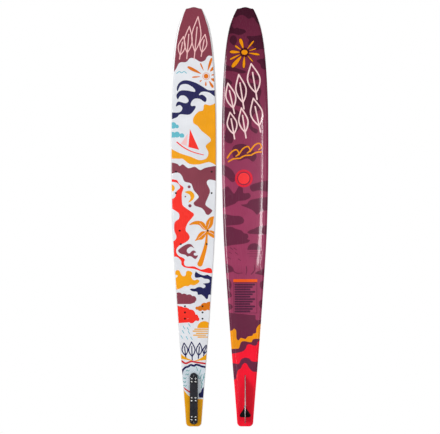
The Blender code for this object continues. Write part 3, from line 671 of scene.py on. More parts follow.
def camo():
    """Dark patches: loose blobs, flat-bottomed clouds and a few brush lines; the first patch, over the nose
    end, is painted shade.
    """
    art = blobs(
        # Painted shade: this dark patch covers the nose end, where the rockered nose turns away from the
        # light.
        ("night", (-60, 1600), (-60, 1530), (-38, 1512), (-10, 1520), (12, 1506), (30, 1512), (44, 1490),
         (70, 1486), (70, 1600)),
        ("wine", (-34, 1513), (-14, 1521), (6, 1510), (-8, 1501), (-28, 1503)),
        ("night", (-80, 1492), (-46, 1490), (-28, 1472), (-4, 1466), (2, 1456), (-22, 1446), (-50, 1452),
         (-80, 1446)),
        ("wine", (-50, 1484), (-36, 1488), (-28, 1478), (-40, 1470)),
        ("night", (-58, 1424), (-50, 1443), (-36, 1442), (-30, 1424), (-42, 1408)),
        ("night", (6, 1441), (34, 1442), (66, 1446), (100, 1440), (100, 1388), (62, 1394), (40, 1390),
         (28, 1404), (10, 1412), (14, 1426)),
        ("night", (42, 1350), (60, 1358), (100, 1360), (100, 1316), (62, 1322), (56, 1338)),
        ("night", (-100, 1340), (-60, 1332), (-20, 1320), (4, 1310), (-14, 1304), (-46, 1312),
         (-100, 1318)),
        ("night", (14, 1292), (32, 1300), (54, 1290), (46, 1280), (24, 1282)),
        ("night", (-30, 1262), (4, 1270), (42, 1264), (60, 1240), (52, 1204), (60, 1176), (30, 1150),
         (24, 1110), (46, 1096), (40, 1082), (14, 1104), (6, 1150), (-14, 1180), (-40, 1190), (-34, 1230)),
        ("night", (-100, 1290), (-66, 1284), (-48, 1270), (-62, 1256), (-100, 1258)),
        ("night", (-100, 1182), (-66, 1178), (-30, 1168), (-8, 1140), (-18, 1104), (-38, 1080), (-50, 1046),
         (-78, 1060), (-70, 1110), (-100, 1130)),
        ("night", (-44, 1034), (-10, 1044), (20, 1030), (42, 1000), (30, 978), (8, 990), (-24, 982),
         (-46, 1000)),
        ("night", (-100, 968), (-70, 962), (-46, 944), (-34, 916), (-48, 902), (-70, 922), (-100, 940)),
        ("night", (18, 888), (44, 900), (100, 908), (100, 868), (50, 872), (26, 868)),
        ("night", (-70, 886), (-54, 876), (-42, 860), (-32, 872), (-22, 888), (-8, 880), (-6, 862),
         (14, 862), (20, 848), (2, 836), (-26, 832), (-44, 820), (-100, 806), (-100, 850)),
        ("night", (-16, 818), (6, 822), (24, 838), (100, 846), (100, 806), (58, 794), (44, 782), (30, 796),
         (12, 806)),
        ("night", (-100, 784), (-72, 784), (-54, 780), (-38, 778), (-20, 777), (-8, 770), (-4, 757),
         (-16, 747), (-50, 743), (-100, 742)),
        ("night", (-100, 740), (-68, 738), (-50, 737), (-32, 729), (-14, 724), (-4, 714), (8, 711),
         (12, 700), (8, 692), (18, 687), (4, 677), (-40, 671), (-100, 669)),
        ("night", (8, 717), (18, 725), (32, 730), (46, 737), (64, 741), (110, 742), (110, 712), (24, 711)),
        ("night", (-80, 600), (-58, 596), (-44, 584), (-46, 572), (-80, 568)))
    art += stroke("night", [(-44, 574), (-30, 566), (-10, 567)], 4, 2)
    art += stroke("night", [(4, 590), (6, 574), (2, 560)], 4, 2)
    art += stroke("night", [(34, 596), (34, 576), (22, 562)], 2.5, 4)
    art += blob("night", (36, 566), (58, 578), (90, 590), (90, 556), (58, 560))
    return art


def sunset_print():
    """A half sun over water lines, and slanting rain, all in the dark ink."""
    art = [("night", arc_points((33, 652), 25, 0, 180, steps=16))]
    art += level_lines("night", ((646, 16, 60), (638, 8, 62), (629, 16, 50), (621, 34, 58)), 1.6)
    for x, z in ((-50, 657), (-55, 642), (-31, 639), (-58, 622), (-21, 616), (-36, 656)):
        art += stroke("night", [(x - 5, z + 3), (x + 5, z - 4)], 3, 2)
    return art


def sun_print():
    """A small sun with leaf-shaped rays and a dark edge."""
    rays = ((108, 15, 53, 12), (51, 15, 55, 5.7), (18, 17, 45, 4.2), (-9, 15, 56, 7.5),
            (-48, 16, 46, 4.2), (-93, 15, 58, 9.2), (-130, 18, 72, 14.3), (206, 18, 60, 6.5),
            (178, 17, 54, 11), (145, 16, 43, 6.5))
    centre = (-2.4, 1382)
    art = spot("shade", *centre, 18)
    for ray in rays:
        art += petal("shade", centre, ray, 1.6)
    for ray in rays:
        art += petal("amber", centre, ray)
    return art + spot("amber", *centre, 11.5, 0.8)


def line_print():
    """Big leaves in pale line and a breaking wave in amber line."""
    art = leaves("rose", 5, ((-44, 1176), (-64, 1268), 34), ((-8, 1196), (-24, 1300), 36),
                 ((40, 1232), (22, 1340), 44), ((-42, 1080), (-56, 1160), 34),
                 ((0, 1086), (-14, 1176), 32), ((52, 1110), (30, 1212), 42))
    for x, z in ((-66, 992), (-24, 1004), (18, 1016)):
        art += stroke(
            "amber", [(x, z), (x + 16, z + 22), (x + 34, z + 30), (x + 42, z + 16), (x + 32, z + 6)],
            5.5, 4)
        art += stroke("amber", [(x + 4, z - 14), (x + 22, z - 4), (x + 42, z - 2)], 5)
    return art


def badge():
    """A plain ring and disc."""
    centre = (-5, 916)
    return spot("ruby", *centre, 33) + spot("night", *centre, 24.5) + spot("scarlet", *centre, 21.5)


def base_tail():
    """A plain decal among dark patches, then wavy bands down to the red tail."""
    art = blobs(
        ("night", (-90, 545), (-58, 540), (-50, 520), (-56, 500), (-50, 480), (-90, 470)),
        ("night", (-90, 455), (-54, 452), (-48, 436), (-90, 420)),
        ("night", (90, 470), (56, 466), (50, 450), (60, 436), (90, 430)),
        ("night", (90, 540), (60, 536), (54, 520), (62, 508), (90, 505)))
    art += shape("night", (-43, 544), (44, 544), (44, 418), (-43, 418))
    art += shape("wine", (-41, 530), (42, 530), (42, 420), (-41, 420))
    for row in range(12):
        z = 524 - 9 * row
        art += stroke("dusk", [(-36, z), (34 - 9 * (row % 3), z)], 7)
    art += shape("tag", (-44, 544), (45, 544), (45, 533), (-44, 533))
    art += blobs(
        ("night", (-110, 410), (-30, 416), (20, 412), (38, 410), (44, 392), (110, 396), (110, 250),
         (-110, 250)),
        ("amber", (-110, 352), (-54, 353), (-41, 361), (-33, 352), (-32, 326), (-24, 318), (-16, 327),
         (1, 323), (10, 332), (26, 335), (30, 342), (40, 346), (43, 364), (60, 380), (110, 384), (110, 324),
         (52, 324), (30, 322), (22, 311), (-4, 315), (-16, 310), (-22, 292), (-34, 287), (-110, 292)),
        ("flame", (-110, 268), (-49, 269), (-28, 272), (-8, 278), (2, 288), (8, 302), (20, 303), (34, 298),
         (44, 303), (52, 316), (110, 330), (110, -80), (-110, -80)),
        ("night", (-110, 236), (-48, 234), (-24, 231), (-15, 247), (0, 254), (16, 250), (32, 239),
         (110, 240), (110, 200), (42, 202), (28, 203), (15, 216), (6, 231), (-2, 234), (-10, 228),
         (-16, 215), (-27, 207), (-32, 190), (-41, 172), (-110, 166)))
    return art


# ---------------------------------------------------------------- printed skins

def sheet_rows():
    """Places along the ski of the sheet's rows, closer together at its two round ends."""
    tail = [TAIL_CORNER * (1 - math.cos(math.pi / 2 * i / TAIL_ROWS))
            for i in range(TAIL_ROWS + 1)]
    middle = [TAIL_CORNER + (NOSE_START - TAIL_CORNER) * i / MIDDLE_ROWS
              for i in range(1, MIDDLE_ROWS + 1)]
    nose = [NOSE_START + (LENGTH - NOSE_START) * math.sin(math.pi / 2 * i / NOSE_ROWS)
            for i in range(1, NOSE_ROWS + 1)]
    return tail + middle + nose


def deck_columns(z):
    """Half of the deck's columns, from the middle out: flat print, round edge, side wall."""
    edge, radius = half_width(z) - wall_inset(z), edge_radius(z)
    flat = edge - radius
    bend = [flat + radius * math.sin(math.radians(a)) for a in DECK_EDGE_ANGLES]
    middle = [flat * i / DECK_COLUMNS for i in range(DECK_COLUMNS)] + [flat - FLAT_MARGIN]
    return middle + bend + [edge, (edge + half_width(z)) / 2, half_width(z)]


def base_columns(z):
    """Half of the base's columns, from the middle out: hollow, soft rail, slanted bevel."""
    rail, side = rail_place(z), half_width(z)
    soft = min(RAIL_RADIUS, RAIL_SHARE * (side - rail))
    hollow = [(rail - soft) * i / BASE_COLUMNS for i in range(BASE_COLUMNS + 1)]
    bevel = [rail + soft + (side - rail - soft) * i / BEVEL_COLUMNS
             for i in range(BEVEL_COLUMNS + 1)]
    return hollow + [rail] + bevel


def sheet_lattice(columns):
    """Points and crease lines of a flat sheet, and its outline as a loop of point numbers."""
    rows = [-END_WALL] + sheet_rows() + [LENGTH + END_WALL]
    points = []
    for v in rows:
        half = columns(on_ski(v))
        points += [Vector((x, v)) for x in [-x for x in half[:0:-1]] + half]
    wide = 2 * len(half) - 1
    last = len(rows) - 1
    edges = []
    for row in range(last):
        edges += [(row * wide + i, (row + 1) * wide + i) for i in range(wide)]
    for row in (1, last - 1):
        edges += [(row * wide + i, row * wide + i + 1) for i in range(wide - 1)]
    outline = list(range(wide)) + [row * wide + wide - 1 for row in range(1, last + 1)]
    outline += [last * wide + i for i in range(wide - 2, -1, -1)]
    outline += [row * wide for row in range(last - 1, 0, -1)]
    return points, edges, outline


def anticlockwise(ring):
    """The ring, turned round if needed so that its inside lies to its left."""
    after = ring[1:] + ring[:1]
    area = sum(p.x * q.y - q.x * p.y for p, q in zip(ring, after))
    return ring if area > 0 else ring[::-1]


def printed_sheet(name, surface, columns, art, holes, ground):
    """A skin cut along its printed shapes: each face takes the ink of the last shape over it."""
    points, edges, outline = sheet_lattice(columns)
    faces, inks = [outline], [ground]
    for ink, ring in art + [(None, hole) for hole in holes]:
        faces.append(list(range(len(points), len(points) + len(ring))))
        points += anticlockwise(ring)
        inks.append(ink)
    flat, _, cut, _, _, owners = delaunay_2d_cdt(points, edges, faces, 0, CUT_TOLERANCE)
    names = [ground] + sorted(set(inks) - {None, ground})
    mesh = bpy.data.meshes.new(name)
    kept, slots = [], []
    for corners, owner in zip(cut, owners):
        if 0 in owner and inks[max(owner)] is not None:
            kept.append(corners)
            slots.append(names.index(inks[max(owner)]))
    mesh.from_pydata([sheet_point(p.x, p.y, surface) for p in flat], [], kept)
    for polygon, slot in zip(mesh.polygons, slots):
        polygon.material_index = slot
    for ink in names:
        mesh.materials.append(bpy.data.materials[f"print_{ink}"])
    return welded(mesh)


def welded(mesh):
    """The mesh without loose points, and with points in the same place joined."""
    work = bmesh.new()
    work.from_mesh(mesh)
    bmesh.ops.delete(work, geom=[v for v in work.verts if not v.link_faces], context="VERTS")
    bmesh.ops.remove_doubles(work, verts=work.verts, dist=SAME_POINT)
    work.to_mesh(mesh)
    work.free()
    return mesh


def closed_skin(mesh):
    """Give a printed sheet its thickness inwards, with walls round its edges and holes."""
    item = new_object(mesh.name, mesh)
    shell = item.modifiers.new("shell", "SOLIDIFY")
    shell.thickness = SHELL_THICKNESS
    shell.offset = -1
    return baked(item)


def new_object(name, data):
    item = bpy.data.objects.new(name, data)
    bpy.context.scene.collection.objects.link(item)
    return item


def baked(item):
    """Replace an object by a plain mesh of its evaluated shape, and return the mesh."""
    bpy.context.view_layer.update()
    mesh = bpy.data.meshes.new_from_object(
        item.evaluated_get(bpy.context.evaluated_depsgraph_get()))
    mesh.transform(item.matrix_world)
    mesh.name = item.name
    bpy.data.objects.remove(item)
    return mesh


def metres(art, flip=1):
    """Art from millimetres to metres, mirrored across the ski when flip is -1."""
    return [(ink, [Vector((flip * p.x, p.y)) * MM for p in ring]) for ink, ring in art]


def wall_band():
    """The side walls as two shapes of the deck's sheet, outside its print."""
    rows = [-2 * END_WALL] + sheet_rows() + [LENGTH + 2 * END_WALL]
    edge = [(half_width(on_ski(v)) - wall_inset(on_ski(v)), v) for v in rows]
    far = [(SHEET_REACH, rows[-1]), (SHEET_REACH, rows[0])]
    return [("wall", [Vector((side * x, v)) for x, v in edge + far]) for side in (-1, 1)]


def screw_places():
    """Places of the block's hold-down screws, in the order of their numbers."""
    return [(side * SCREW_COLUMN, centre + offset) for centre in SCREW_GROUPS
            for offset in (-SCREW_ROW_OFFSET, SCREW_ROW_OFFSET) for side in (-1, 1)]


def rectangle(left, low, right, high):
    return [(left, low), (right, low), (right, high), (left, high)]


def fin_slot():
    half = SLOT_HALF_WIDTH
    return [Vector(corner) for corner in rectangle(-half, SLOT_TAIL, half, SLOT_FRONT)]


def deck_holes():
    inserts = [circle((side * spacing / 2, z), INSERT_HOLE_RADIUS, steps=24)
               for z, spacing in INSERT_ROWS for side in (-1, 1)]
    screws = [circle(place, SCREW_SHANK + GAP, steps=16) for place in screw_places()]
    return inserts + screws + [fin_slot()]


# ---------------------------------------------------------------- fin hardware

def at_height(x, height, z):
    return Vector((x, BASE_Y - height, z))


def mesh_of(work, name):
    """A closed bmesh as a mesh, with its faces turned outwards."""
    bmesh.ops.recalc_face_normals(work, faces=work.faces)
    mesh = bpy.data.meshes.new(name)
    work.to_mesh(mesh)
    work.free()
    return mesh


def prism(outline, low, high, view):
    """Extrude a flat outline from low to high, then turn it from its drawing plane."""
    work = bmesh.new()
    face = work.faces.new([work.verts.new((x, y, low)) for x, y in outline])
    walls = bmesh.ops.extrude_face_region(work, geom=[face])
    moved = [item for item in walls["geom"] if isinstance(item, bmesh.types.BMVert)]
    bmesh.ops.translate(work, verts=moved, vec=(0, 0, high - low))
    mesh = mesh_of(work, "prism")
    mesh.transform(view)
    return mesh


def rounded(mesh, width, segments=3):
    """Round every sharp edge of a mesh."""
    item = new_object("rounded", mesh)
    edge = item.modifiers.new("edge", "BEVEL")
    edge.width = width
    edge.segments = segments
    edge.limit_method = "ANGLE"
    edge.angle_limit = BEVEL_ANGLE
    return baked(item)


def combined(mesh, others, operation="DIFFERENCE"):
    """Cut other meshes out of a mesh, or join them to it."""
    item = new_object("combined", mesh)
    helpers = []
    for other in others:
        helper = new_object("helper", other)
        change = item.modifiers.new("change", "BOOLEAN")
        change.operation = operation
        change.object = helper
        helpers.append(helper)
    result = baked(item)
    for helper in helpers:
        bpy.data.objects.remove(helper)
    return result


def across(outline, low, high):
    """A plate drawn in side view as (z, height) and extruded across the ski."""
    return prism([(z, height - BASE_Y) for z, height in outline], low, high, SIDE_VIEW)


def cross_pin(z, height, radius, low, high):
    """A round cutter that lies across the ski."""
    return across(circle((z, height), radius, LATHE_STEPS), low, high)


def pill(centre, radius, half_length):
    """An upright slot outline with round ends."""
    x, z = centre
    reach = half_length - radius
    return (arc_points((x, z + reach), radius, 0, 180, steps=8)
            + arc_points((x, z - reach), radius, 180, 360, steps=8))


def inner_face():
    """Distance from the middle of the fin to the pieces that hold it or hang on it."""
    return FIN_HALF_THICKNESS + GAP


def block_top():
    return TAIL_THICKNESS + GAP + BLOCK_HEIGHT


def block_outline():
    """Plan of both halves together, with round corners at the tail and a round nose."""
    joint, outer, radius = GAP / 2, BLOCK_HALF_WIDTH, BLOCK_TAIL_RADIUS
    tail = arc_points((outer - radius, BLOCK_TAIL + radius), radius, -90, 0, steps=12)
    stretch = (BLOCK_FRONT - BLOCK_SHOULDER) / (outer - joint)
    nose = [(x, BLOCK_SHOULDER + (z - BLOCK_SHOULDER) * stretch)
            for x, z in arc_points((joint, BLOCK_SHOULDER), outer - joint, 0, 90, steps=16)]
    starboard = tail + nose
    return starboard + [(-x, z) for x, z in reversed(starboard)]


def block_half(side):
    """One half of the block, with its rim rounded, slots, fin channel and clamp screw holes."""
    low = TAIL_THICKNESS + GAP - BASE_Y
    half = rounded(prism(block_outline(), low, low + BLOCK_HEIGHT, DECK_PLAN), BLOCK_EDGE)
    slot_half = SCREW_ROW_OFFSET + BLOCK_TRAVEL + SCREW_SHANK + GAP
    cutters = [prism(pill((side * SCREW_COLUMN, z), SCREW_SHANK + GAP, slot_half),
                     low - BLOCK_EDGE, low + BLOCK_HEIGHT + BLOCK_EDGE, DECK_PLAN)
               for z in SCREW_GROUPS]
    other_half = rectangle(-LENGTH, -LENGTH, LENGTH, LENGTH)
    cutters.append(across(other_half, *sorted((side * GAP / 2, -side * LENGTH))))
    channel = rectangle(FIN_TAIL - GAP, 0, FIN_FRONT + GAP, block_top() - BLOCK_ROOF)
    cutters.append(across(channel, -inner_face(), inner_face()))
    height = TAIL_THICKNESS + GAP + CLAMP_HEIGHT
    outside = BLOCK_HALF_WIDTH + BLOCK_EDGE
    for z in CLAMP_PLACES.values():
        reach = (0, outside) if side > 0 else (CLAMP_BLIND_END - BLOCK_HALF_WIDTH, 0)
        cutters.append(cross_pin(z, height, SCREW_SHANK + GAP, *reach))
        if side > 0:
            seat = BLOCK_HALF_WIDTH - CLAMP_HEAD_HEIGHT - 2 * GAP
            cutters.append(cross_pin(z, height, CLAMP_HEAD + GAP, seat, outside))
    return combined(half, cutters)


def bezier(start, handle, end, steps):
    """A curve from start to end that leans towards the handle."""
    return [tuple((1 - i / steps) ** 2 * a + 2 * i / steps * (1 - i / steps) * b
                  + (i / steps) ** 2 * c for a, b, c in zip(start, handle, end))
            for i in range(steps + 1)]


def fin_outline():
    """Side view of the fin as (z, height) points, with notches over the clamp screws."""
    leading = bezier((FIN_FRONT, 0), (FIN_SWEEP_HANDLE, -FIN_DEPTH), (FIN_TIP, -FIN_DEPTH), steps=24)
    radius = FIN_HEEL_RADIUS
    heel = arc_points((FIN_TIP - radius, radius - FIN_DEPTH), radius, *FIN_HEEL_ANGLES, steps=8)
    tab_top = TAIL_THICKNESS + FIN_TAB
    notch_half = SCREW_SHANK + GAP
    notch_floor = TAIL_THICKNESS + GAP + CLAMP_HEIGHT - notch_half - FIN_TRAVEL
    top = [(FIN_TAIL, tab_top)]
    for z in CLAMP_PLACES.values():
        top += [(z - notch_half, tab_top), (z - notch_half, notch_floor),
                (z + notch_half, notch_floor), (z + notch_half, tab_top)]
    return leading + heel + [(FIN_TAIL, 0)] + top + [(FIN_FRONT, tab_top)]


def lock_slot():
    """Curved slot in the fin that the wing's lock screw moves along."""
    reach, width = PIVOT_PLACE[0] - LOCK_PLACE[0], WING_SHANK + GAP
    low, high = 180.0, 180.0 - math.degrees(WING_TRAVEL)
    turn = math.radians(high)
    far = (PIVOT_PLACE[0] + reach * math.cos(turn), PIVOT_PLACE[1] + reach * math.sin(turn))
    return (arc_points(PIVOT_PLACE, reach + width, low, high, steps=8)
            + arc_points(far, width, high, high - 180, steps=6)[1:-1]
            + arc_points(PIVOT_PLACE, reach - width, high, low, steps=8)
            + arc_points(LOCK_PLACE, width, 360, 180, steps=6)[1:-1])


def fin():
    """The blade with round edges, the pivot hole and the slot for the lock screw."""
    half = FIN_HALF_THICKNESS
    blade = rounded(across(fin_outline(), -half, half), FIN_EDGE)
    z, height = PIVOT_PLACE
    return combined(blade, [cross_pin(z, height, WING_SHANK + GAP, -2 * half, 2 * half),
                            across(lock_slot(), -2 * half, 2 * half)])


def wing_half(side):
    """A delta blade with thin round edges and an upright flange against the fin."""
    inner, corner = inner_face(), WING_TIP_RADIUS
    outer = inner + FLANGE_THICKNESS
    tip = arc_points((WING_HALF_SPAN - corner, WING_TAIL + corner), corner, -90,
                     WING_TIP_END_ANGLE, steps=12)
    front = bezier(tip[-1], WING_FRONT_HANDLE, (outer, WING_NECK), steps=10)[1:]
    plan = [(inner, WING_TAIL)] + tip + front + [(outer, WING_FRONT), (inner, WING_FRONT)]
    low = WING_HEIGHT - BASE_Y
    blade = prism([(side * x, z) for x, z in plan], low, low + WING_THICKNESS, DECK_PLAN)
    foot, head = WING_HEIGHT + WING_THICKNESS / 2, WING_HEIGHT + FLANGE_RISE
    flange = across(rectangle(FLANGE_TAIL, foot, WING_FRONT, head),
                    *sorted((side * inner, side * outer)))
    moulding = combined(rounded(blade, WING_EDGE), [rounded(flange, RIM)], "UNION")
    reach = sorted((0, side * WING_HALF_SPAN / 2))
    return combined(moulding, [cross_pin(z, height, WING_SHANK + GAP, *reach)
                               for z, height in (PIVOT_PLACE, LOCK_PLACE)])


def lathe_ring(work, radius, z, sides):
    """A ring of corners at one height: round, or with flats when sides isn't 0."""
    ring = []
    for i in range(LATHE_STEPS):
        angle = 2 * math.pi * i / LATHE_STEPS
        reach = radius
        if sides:
            side = 2 * math.pi / sides
            reach *= math.cos(side / 2) / math.cos(angle % side - side / 2)
        ring.append(work.verts.new((reach * math.cos(angle), reach * math.sin(angle), z)))
    return ring


def socket_screw(shank, length, head, head_height):
    """A domed screw with a six-sided socket, turned about Z, seated at z = 0."""
    socket, floor = SOCKET_SHARE * head, (1 - SOCKET_DEPTH_SHARE) * head_height
    profile = [(socket, floor, SOCKET_SIDES), (socket, head_height, SOCKET_SIDES)]
    profile += [(out * head, up * head_height, 0) for out, up in HEAD_CURVE]
    profile += [(shank, 0, 0), (shank, RIM - length, 0), (shank - RIM, -length, 0)]
    work = bmesh.new()
    rings = [lathe_ring(work, *step) for step in profile]
    for inside, outside in zip(rings, rings[1:]):
        for i in range(LATHE_STEPS):
            after = (i + 1) % LATHE_STEPS
            work.faces.new((inside[i], outside[i], outside[after], inside[after]))
    work.faces.new(rings[0])
    work.faces.new(rings[-1])
    return mesh_of(work, "screw")


# ---------------------------------------------------------------- materials

def linear(colour):
    """An 8-bit screen colour as the linear colour a shader takes."""
    scaled = [c / 255 for c in colour]
    return tuple(c / 12.92 if c <= 0.04045 else ((c + 0.055) / 1.055) ** 2.4 for c in scaled)


class Shader:
    """A node material under construction, with short calls for the nodes it uses."""

    def __init__(self, name, **values):
        self.material = bpy.data.materials.new(name)
        self.material.use_nodes = True
        self.tree = self.material.node_tree
        self.shader = self.tree.nodes["Principled BSDF"]
        for socket, value in values.items():
            self.shader.inputs[socket.replace("_", " ")].default_value = value
        self.place = self.tree.nodes.new("ShaderNodeTexCoord").outputs["Object"]

    def add(self, kind, links=None, **values):
        """A node with its links, its settings and its sockets' values, by name."""
        node = self.tree.nodes.new("ShaderNode" + kind)
        for key, value in values.items():
            if hasattr(node, key):
                setattr(node, key, value)
            else:
                node.inputs[key.replace("_", " ")].default_value = value
        for socket, source in (links or {}).items():
            self.tree.links.new(source, node.inputs[socket])
        return node

    def noise(self, scale, detail=2.0, stretch=(1, 1, 1)):
        """Noise from 0 to 1 about 0.5. A stretch above 1 packs it tighter along that axis."""
        moved = self.add("Mapping", {"Vector": self.place}, Scale=stretch)
        node = self.add("TexNoise", {"Vector": moved.outputs["Vector"]}, Scale=scale,
                        Detail=detail)
        return node.outputs["Fac"]

    def span(self, value, low, high, start=0.3, end=0.7):
        """The value's stretch from start to end mapped to low..high, and held beyond it."""
        node = self.add("MapRange", {"Value": value}, From_Min=start, From_Max=end, To_Min=low,
                        To_Max=high)
        return node.outputs["Result"]

    def mix(self, factor, first, second):
        """A colour between two, each a linear colour or another node's output.

        The Mix node takes its two colours at sockets 6 and 7 and gives its result at 2.
        """
        node = self.add("Mix", {"Factor": factor}, data_type="RGBA")
        for socket, colour in ((node.inputs[6], first), (node.inputs[7], second)):
            if isinstance(colour, tuple):
                socket.default_value = (*colour, 1)
            else:
                self.tree.links.new(colour, socket)
        return node.outputs[2]

    def bump(self, height, distance, under=None):
        """Relief of a height from 0 to 1, the distance in metres, on top of another relief."""
        links = {"Height": height}
        if under is not None:
            links["Normal"] = under
        return self.add("Bump", links, Strength=1.0, Distance=distance).outputs["Normal"]

    def finish(self, colour, roughness, normal):
        """Link the three results to the shader and return the material."""
        for socket, source in (("Base Color", colour), ("Roughness", roughness),
                               ("Normal", normal)):
            self.tree.links.new(source, self.shader.inputs[socket])
        return self.material


def shaded(colour, amount):
    """The colour made darker or paler by a factor."""
    return tuple(min(max(c * amount, 0.0), 1.0) for c in colour)


def print_material(name, colour):
    """Ink under a clear film: faint mottling, orange peel and fine handling scratches, and for some inks
    painted shade that darkens them towards the tip.
    """
    ink = linear(colour)
    s = Shader(f"print_{name}", Coat_Weight=0.55, Coat_Roughness=0.05, IOR=1.45,
               Specular_IOR_Level=0.2)
    mottle = s.span(s.noise(scale=14, detail=4), 0, 1)
    tone = s.mix(mottle, shaded(ink, 0.93), shaded(ink, 1.06))
    grain = s.span(s.noise(scale=900), 0, 0.35, start=0.45, end=0.75)
    tone = s.mix(grain, tone, shaded(ink, 0.88))
    # Painted shade: the ink darkens towards the tip, where the rockered nose turns away from the light.
    if name in TIP_SHADE_INKS:
        height = s.add("SeparateXYZ", {"Vector": s.place}).outputs["Z"]
        tip_shade = s.span(height, 0, 1, TIP_SHADE_START, TIP_SHADE_END)
        tone = s.mix(tip_shade, tone, shaded(ink, TIP_SHADE_DEPTH))
    scratches = s.noise(scale=60, detail=5, stretch=(6, 6, 0.35))
    scuff = s.span(scratches, 0, 0.14, start=0.55, end=0.72)
    film = s.span(s.noise(scale=9, detail=3), 0.22, 0.32)
    rough = s.add("Math", {0: scuff, 1: film}, operation="ADD").outputs[0]
    peel = s.bump(s.noise(scale=160), PEEL_RELIEF)
    return s.finish(tone, rough, s.bump(scuff, SCRATCH_RELIEF, peel))


def wall_material():
    """Moulded pale side wall with fine grinding lines along the ski."""
    wall = linear(INKS["wall"])
    s = Shader("print_wall", IOR=1.5)
    lines = s.noise(scale=260, detail=3, stretch=(1, 1, 0.02))
    tone = s.mix(s.span(lines, 0, 1), shaded(wall, 0.95), wall)
    return s.finish(tone, s.span(lines, 0.38, 0.52), s.bump(lines, GRINDING_RELIEF))


def moulded_material(name, colour, low, high, grain):
    """Moulded plastic: a fine pebble grain, with a cloudy tone and roughness."""
    s = Shader(name, IOR=1.5, Specular_IOR_Level=0.18)
    pebble = s.add("TexVoronoi", {"Vector": s.place}, Scale=grain).outputs["Distance"]
    cloudy = s.noise(scale=45, detail=4)
    tone = s.mix(s.span(cloudy, 0, 1), shaded(colour, 0.8), shaded(colour, 1.5))
    return s.finish(tone, s.span(cloudy, low, high), s.bump(pebble, PEBBLE_RELIEF))


def metal_material(name, colour, roughness, brushed, scale, metallic=0.6):
    """Satin metal with brush marks along one axis and a little cloudiness."""
    s = Shader(name, Metallic=metallic)
    marks = s.noise(scale, detail=4, stretch=brushed)
    tone = s.mix(s.span(marks, 0, 1), shaded(colour, 0.92), shaded(colour, 1.05))
    rough = s.span(marks, roughness - 0.07, roughness + 0.1)
    return s.finish(tone, rough, s.bump(marks, BRUSH_RELIEF))


def foam_material():
    """Closed-cell foam: a honeycomb of fine bubbles."""
    foam = (0.045, 0.045, 0.05)
    s = Shader("core_foam")
    cells = s.add("TexVoronoi", {"Vector": s.place}, Scale=900).outputs["Distance"]
    tone = s.mix(s.span(cells, 0, 1, start=0.1, end=0.6), shaded(foam, 1.15), shaded(foam, 0.7))
    return s.finish(tone, s.span(s.noise(scale=40), 0.8, 0.95), s.bump(cells, FOAM_RELIEF))


def make_materials():
    for name, colour in INKS.items():
        if name == "wall":
            wall_material()
        else:
            print_material(name, colour)
    foam_material()
    metal_material("plate_metal", (0.035, 0.035, 0.04), 0.42, brushed=(1, 1, 0.05), scale=300)
    metal_material("screw_steel", (0.86, 0.86, 0.84), 0.24, brushed=(1, 1, 1), scale=700)
    metal_material("fin_metal", (0.74, 0.69, 0.69), 0.32, brushed=(1, 1, 0.03), scale=500,
                   metallic=0.7)
    moulded_material("block_plastic", (0.020, 0.020, 0.026), low=0.45, high=0.60, grain=1800)
    moulded_material("wing_plastic", (0.003, 0.003, 0.004), low=0.34, high=0.48, grain=2200)


# ---------------------------------------------------------------- placing

def on_both_skis(mesh, node, body, place=(0, 0, 0), turn=(0, 0, 0)):
    """Put a mesh made in the ski's frame on each ski, in place of the CAD node of that name."""
    for side, x, spin in (("left", -SKI_SPACING / 2, 0.0), ("right", SKI_SPACING / 2, math.pi)):
        item = new_object(f"{side}_{node}_look", mesh)
        stand = Matrix.Translation((x, 0, 0)) @ Matrix.Rotation(spin, 4, "Z")
        item.matrix_world = (stand @ Matrix.Translation(place)
                             @ Euler(turn).to_matrix().to_4x4())
        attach(item, f"{side}_{body}")
        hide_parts(f"{side}_{node}")


def smoothed(mesh, finish=None):
    """Shade a mesh smoothly up to its sharp edges, in one material where one is given."""
    if finish:
        mesh.materials.clear()
        mesh.materials.append(bpy.data.materials[finish])
    mesh.shade_smooth()
    mesh.set_sharp_from_angle(angle=SHARP_ANGLE)
    return mesh


def make_skins():
    """Both printed skins. The base's sheet faces the other way round, so its faces are flipped."""
    deck = printed_sheet("deck_skin", deck_height, deck_columns, metres(deck_art()) + wall_band(),
                         deck_holes(), "snow")
    base = printed_sheet("base_skin", base_height, base_columns, metres(base_art(), flip=-1),
                         [fin_slot()], "wine")
    base.flip_normals()
    on_both_skis(smoothed(closed_skin(deck)), "deck_skin", "ski")
    on_both_skis(smoothed(closed_skin(base)), "base_skin", "ski")


def make_hardware():
    for name, side in (("port", -1), ("starboard", 1)):
        on_both_skis(smoothed(block_half(side), "block_plastic"), f"fin_block_{name}", "fin_block")
        on_both_skis(smoothed(wing_half(side), "wing_plastic"), f"wing_{name}", "wing")
    on_both_skis(smoothed(fin(), "fin_metal"), "fin", "fin")


def make_screws():
    """The block's hold-down and clamp screws and the wing's two screws."""
    def steel(*sizes):
        return smoothed(socket_screw(*sizes), "screw_steel")

    screw = steel(SCREW_SHANK, SCREW_LENGTH, SCREW_HEAD, SCREW_HEAD_HEIGHT)
    for number, (x, z) in enumerate(screw_places(), 1):
        on_both_skis(screw, f"block_screw_{number}", "ski",
                     at_height(x, block_top() + GAP, z), FACING_DECK)
    seat = BLOCK_HALF_WIDTH - CLAMP_HEAD_HEIGHT - GAP
    screw = steel(SCREW_SHANK, seat + BLOCK_HALF_WIDTH - CLAMP_BLIND_END - 2 * GAP, CLAMP_HEAD,
                  CLAMP_HEAD_HEIGHT)
    for node, z in CLAMP_PLACES.items():
        on_both_skis(screw, node, "fin_block",
                     at_height(seat, TAIL_THICKNESS + GAP + CLAMP_HEIGHT, z), FACING_STARBOARD)
    flange = inner_face() + FLANGE_THICKNESS
    screw = steel(WING_SHANK, 2 * flange + 2 * GAP, WING_HEAD, WING_HEAD_HEIGHT)
    for node, (z, height) in (("wing_pivot_screw", PIVOT_PLACE), ("wing_lock_screw", LOCK_PLACE)):
        on_both_skis(screw, node, "wing", at_height(flange + GAP, height, z),
                     FACING_STARBOARD)


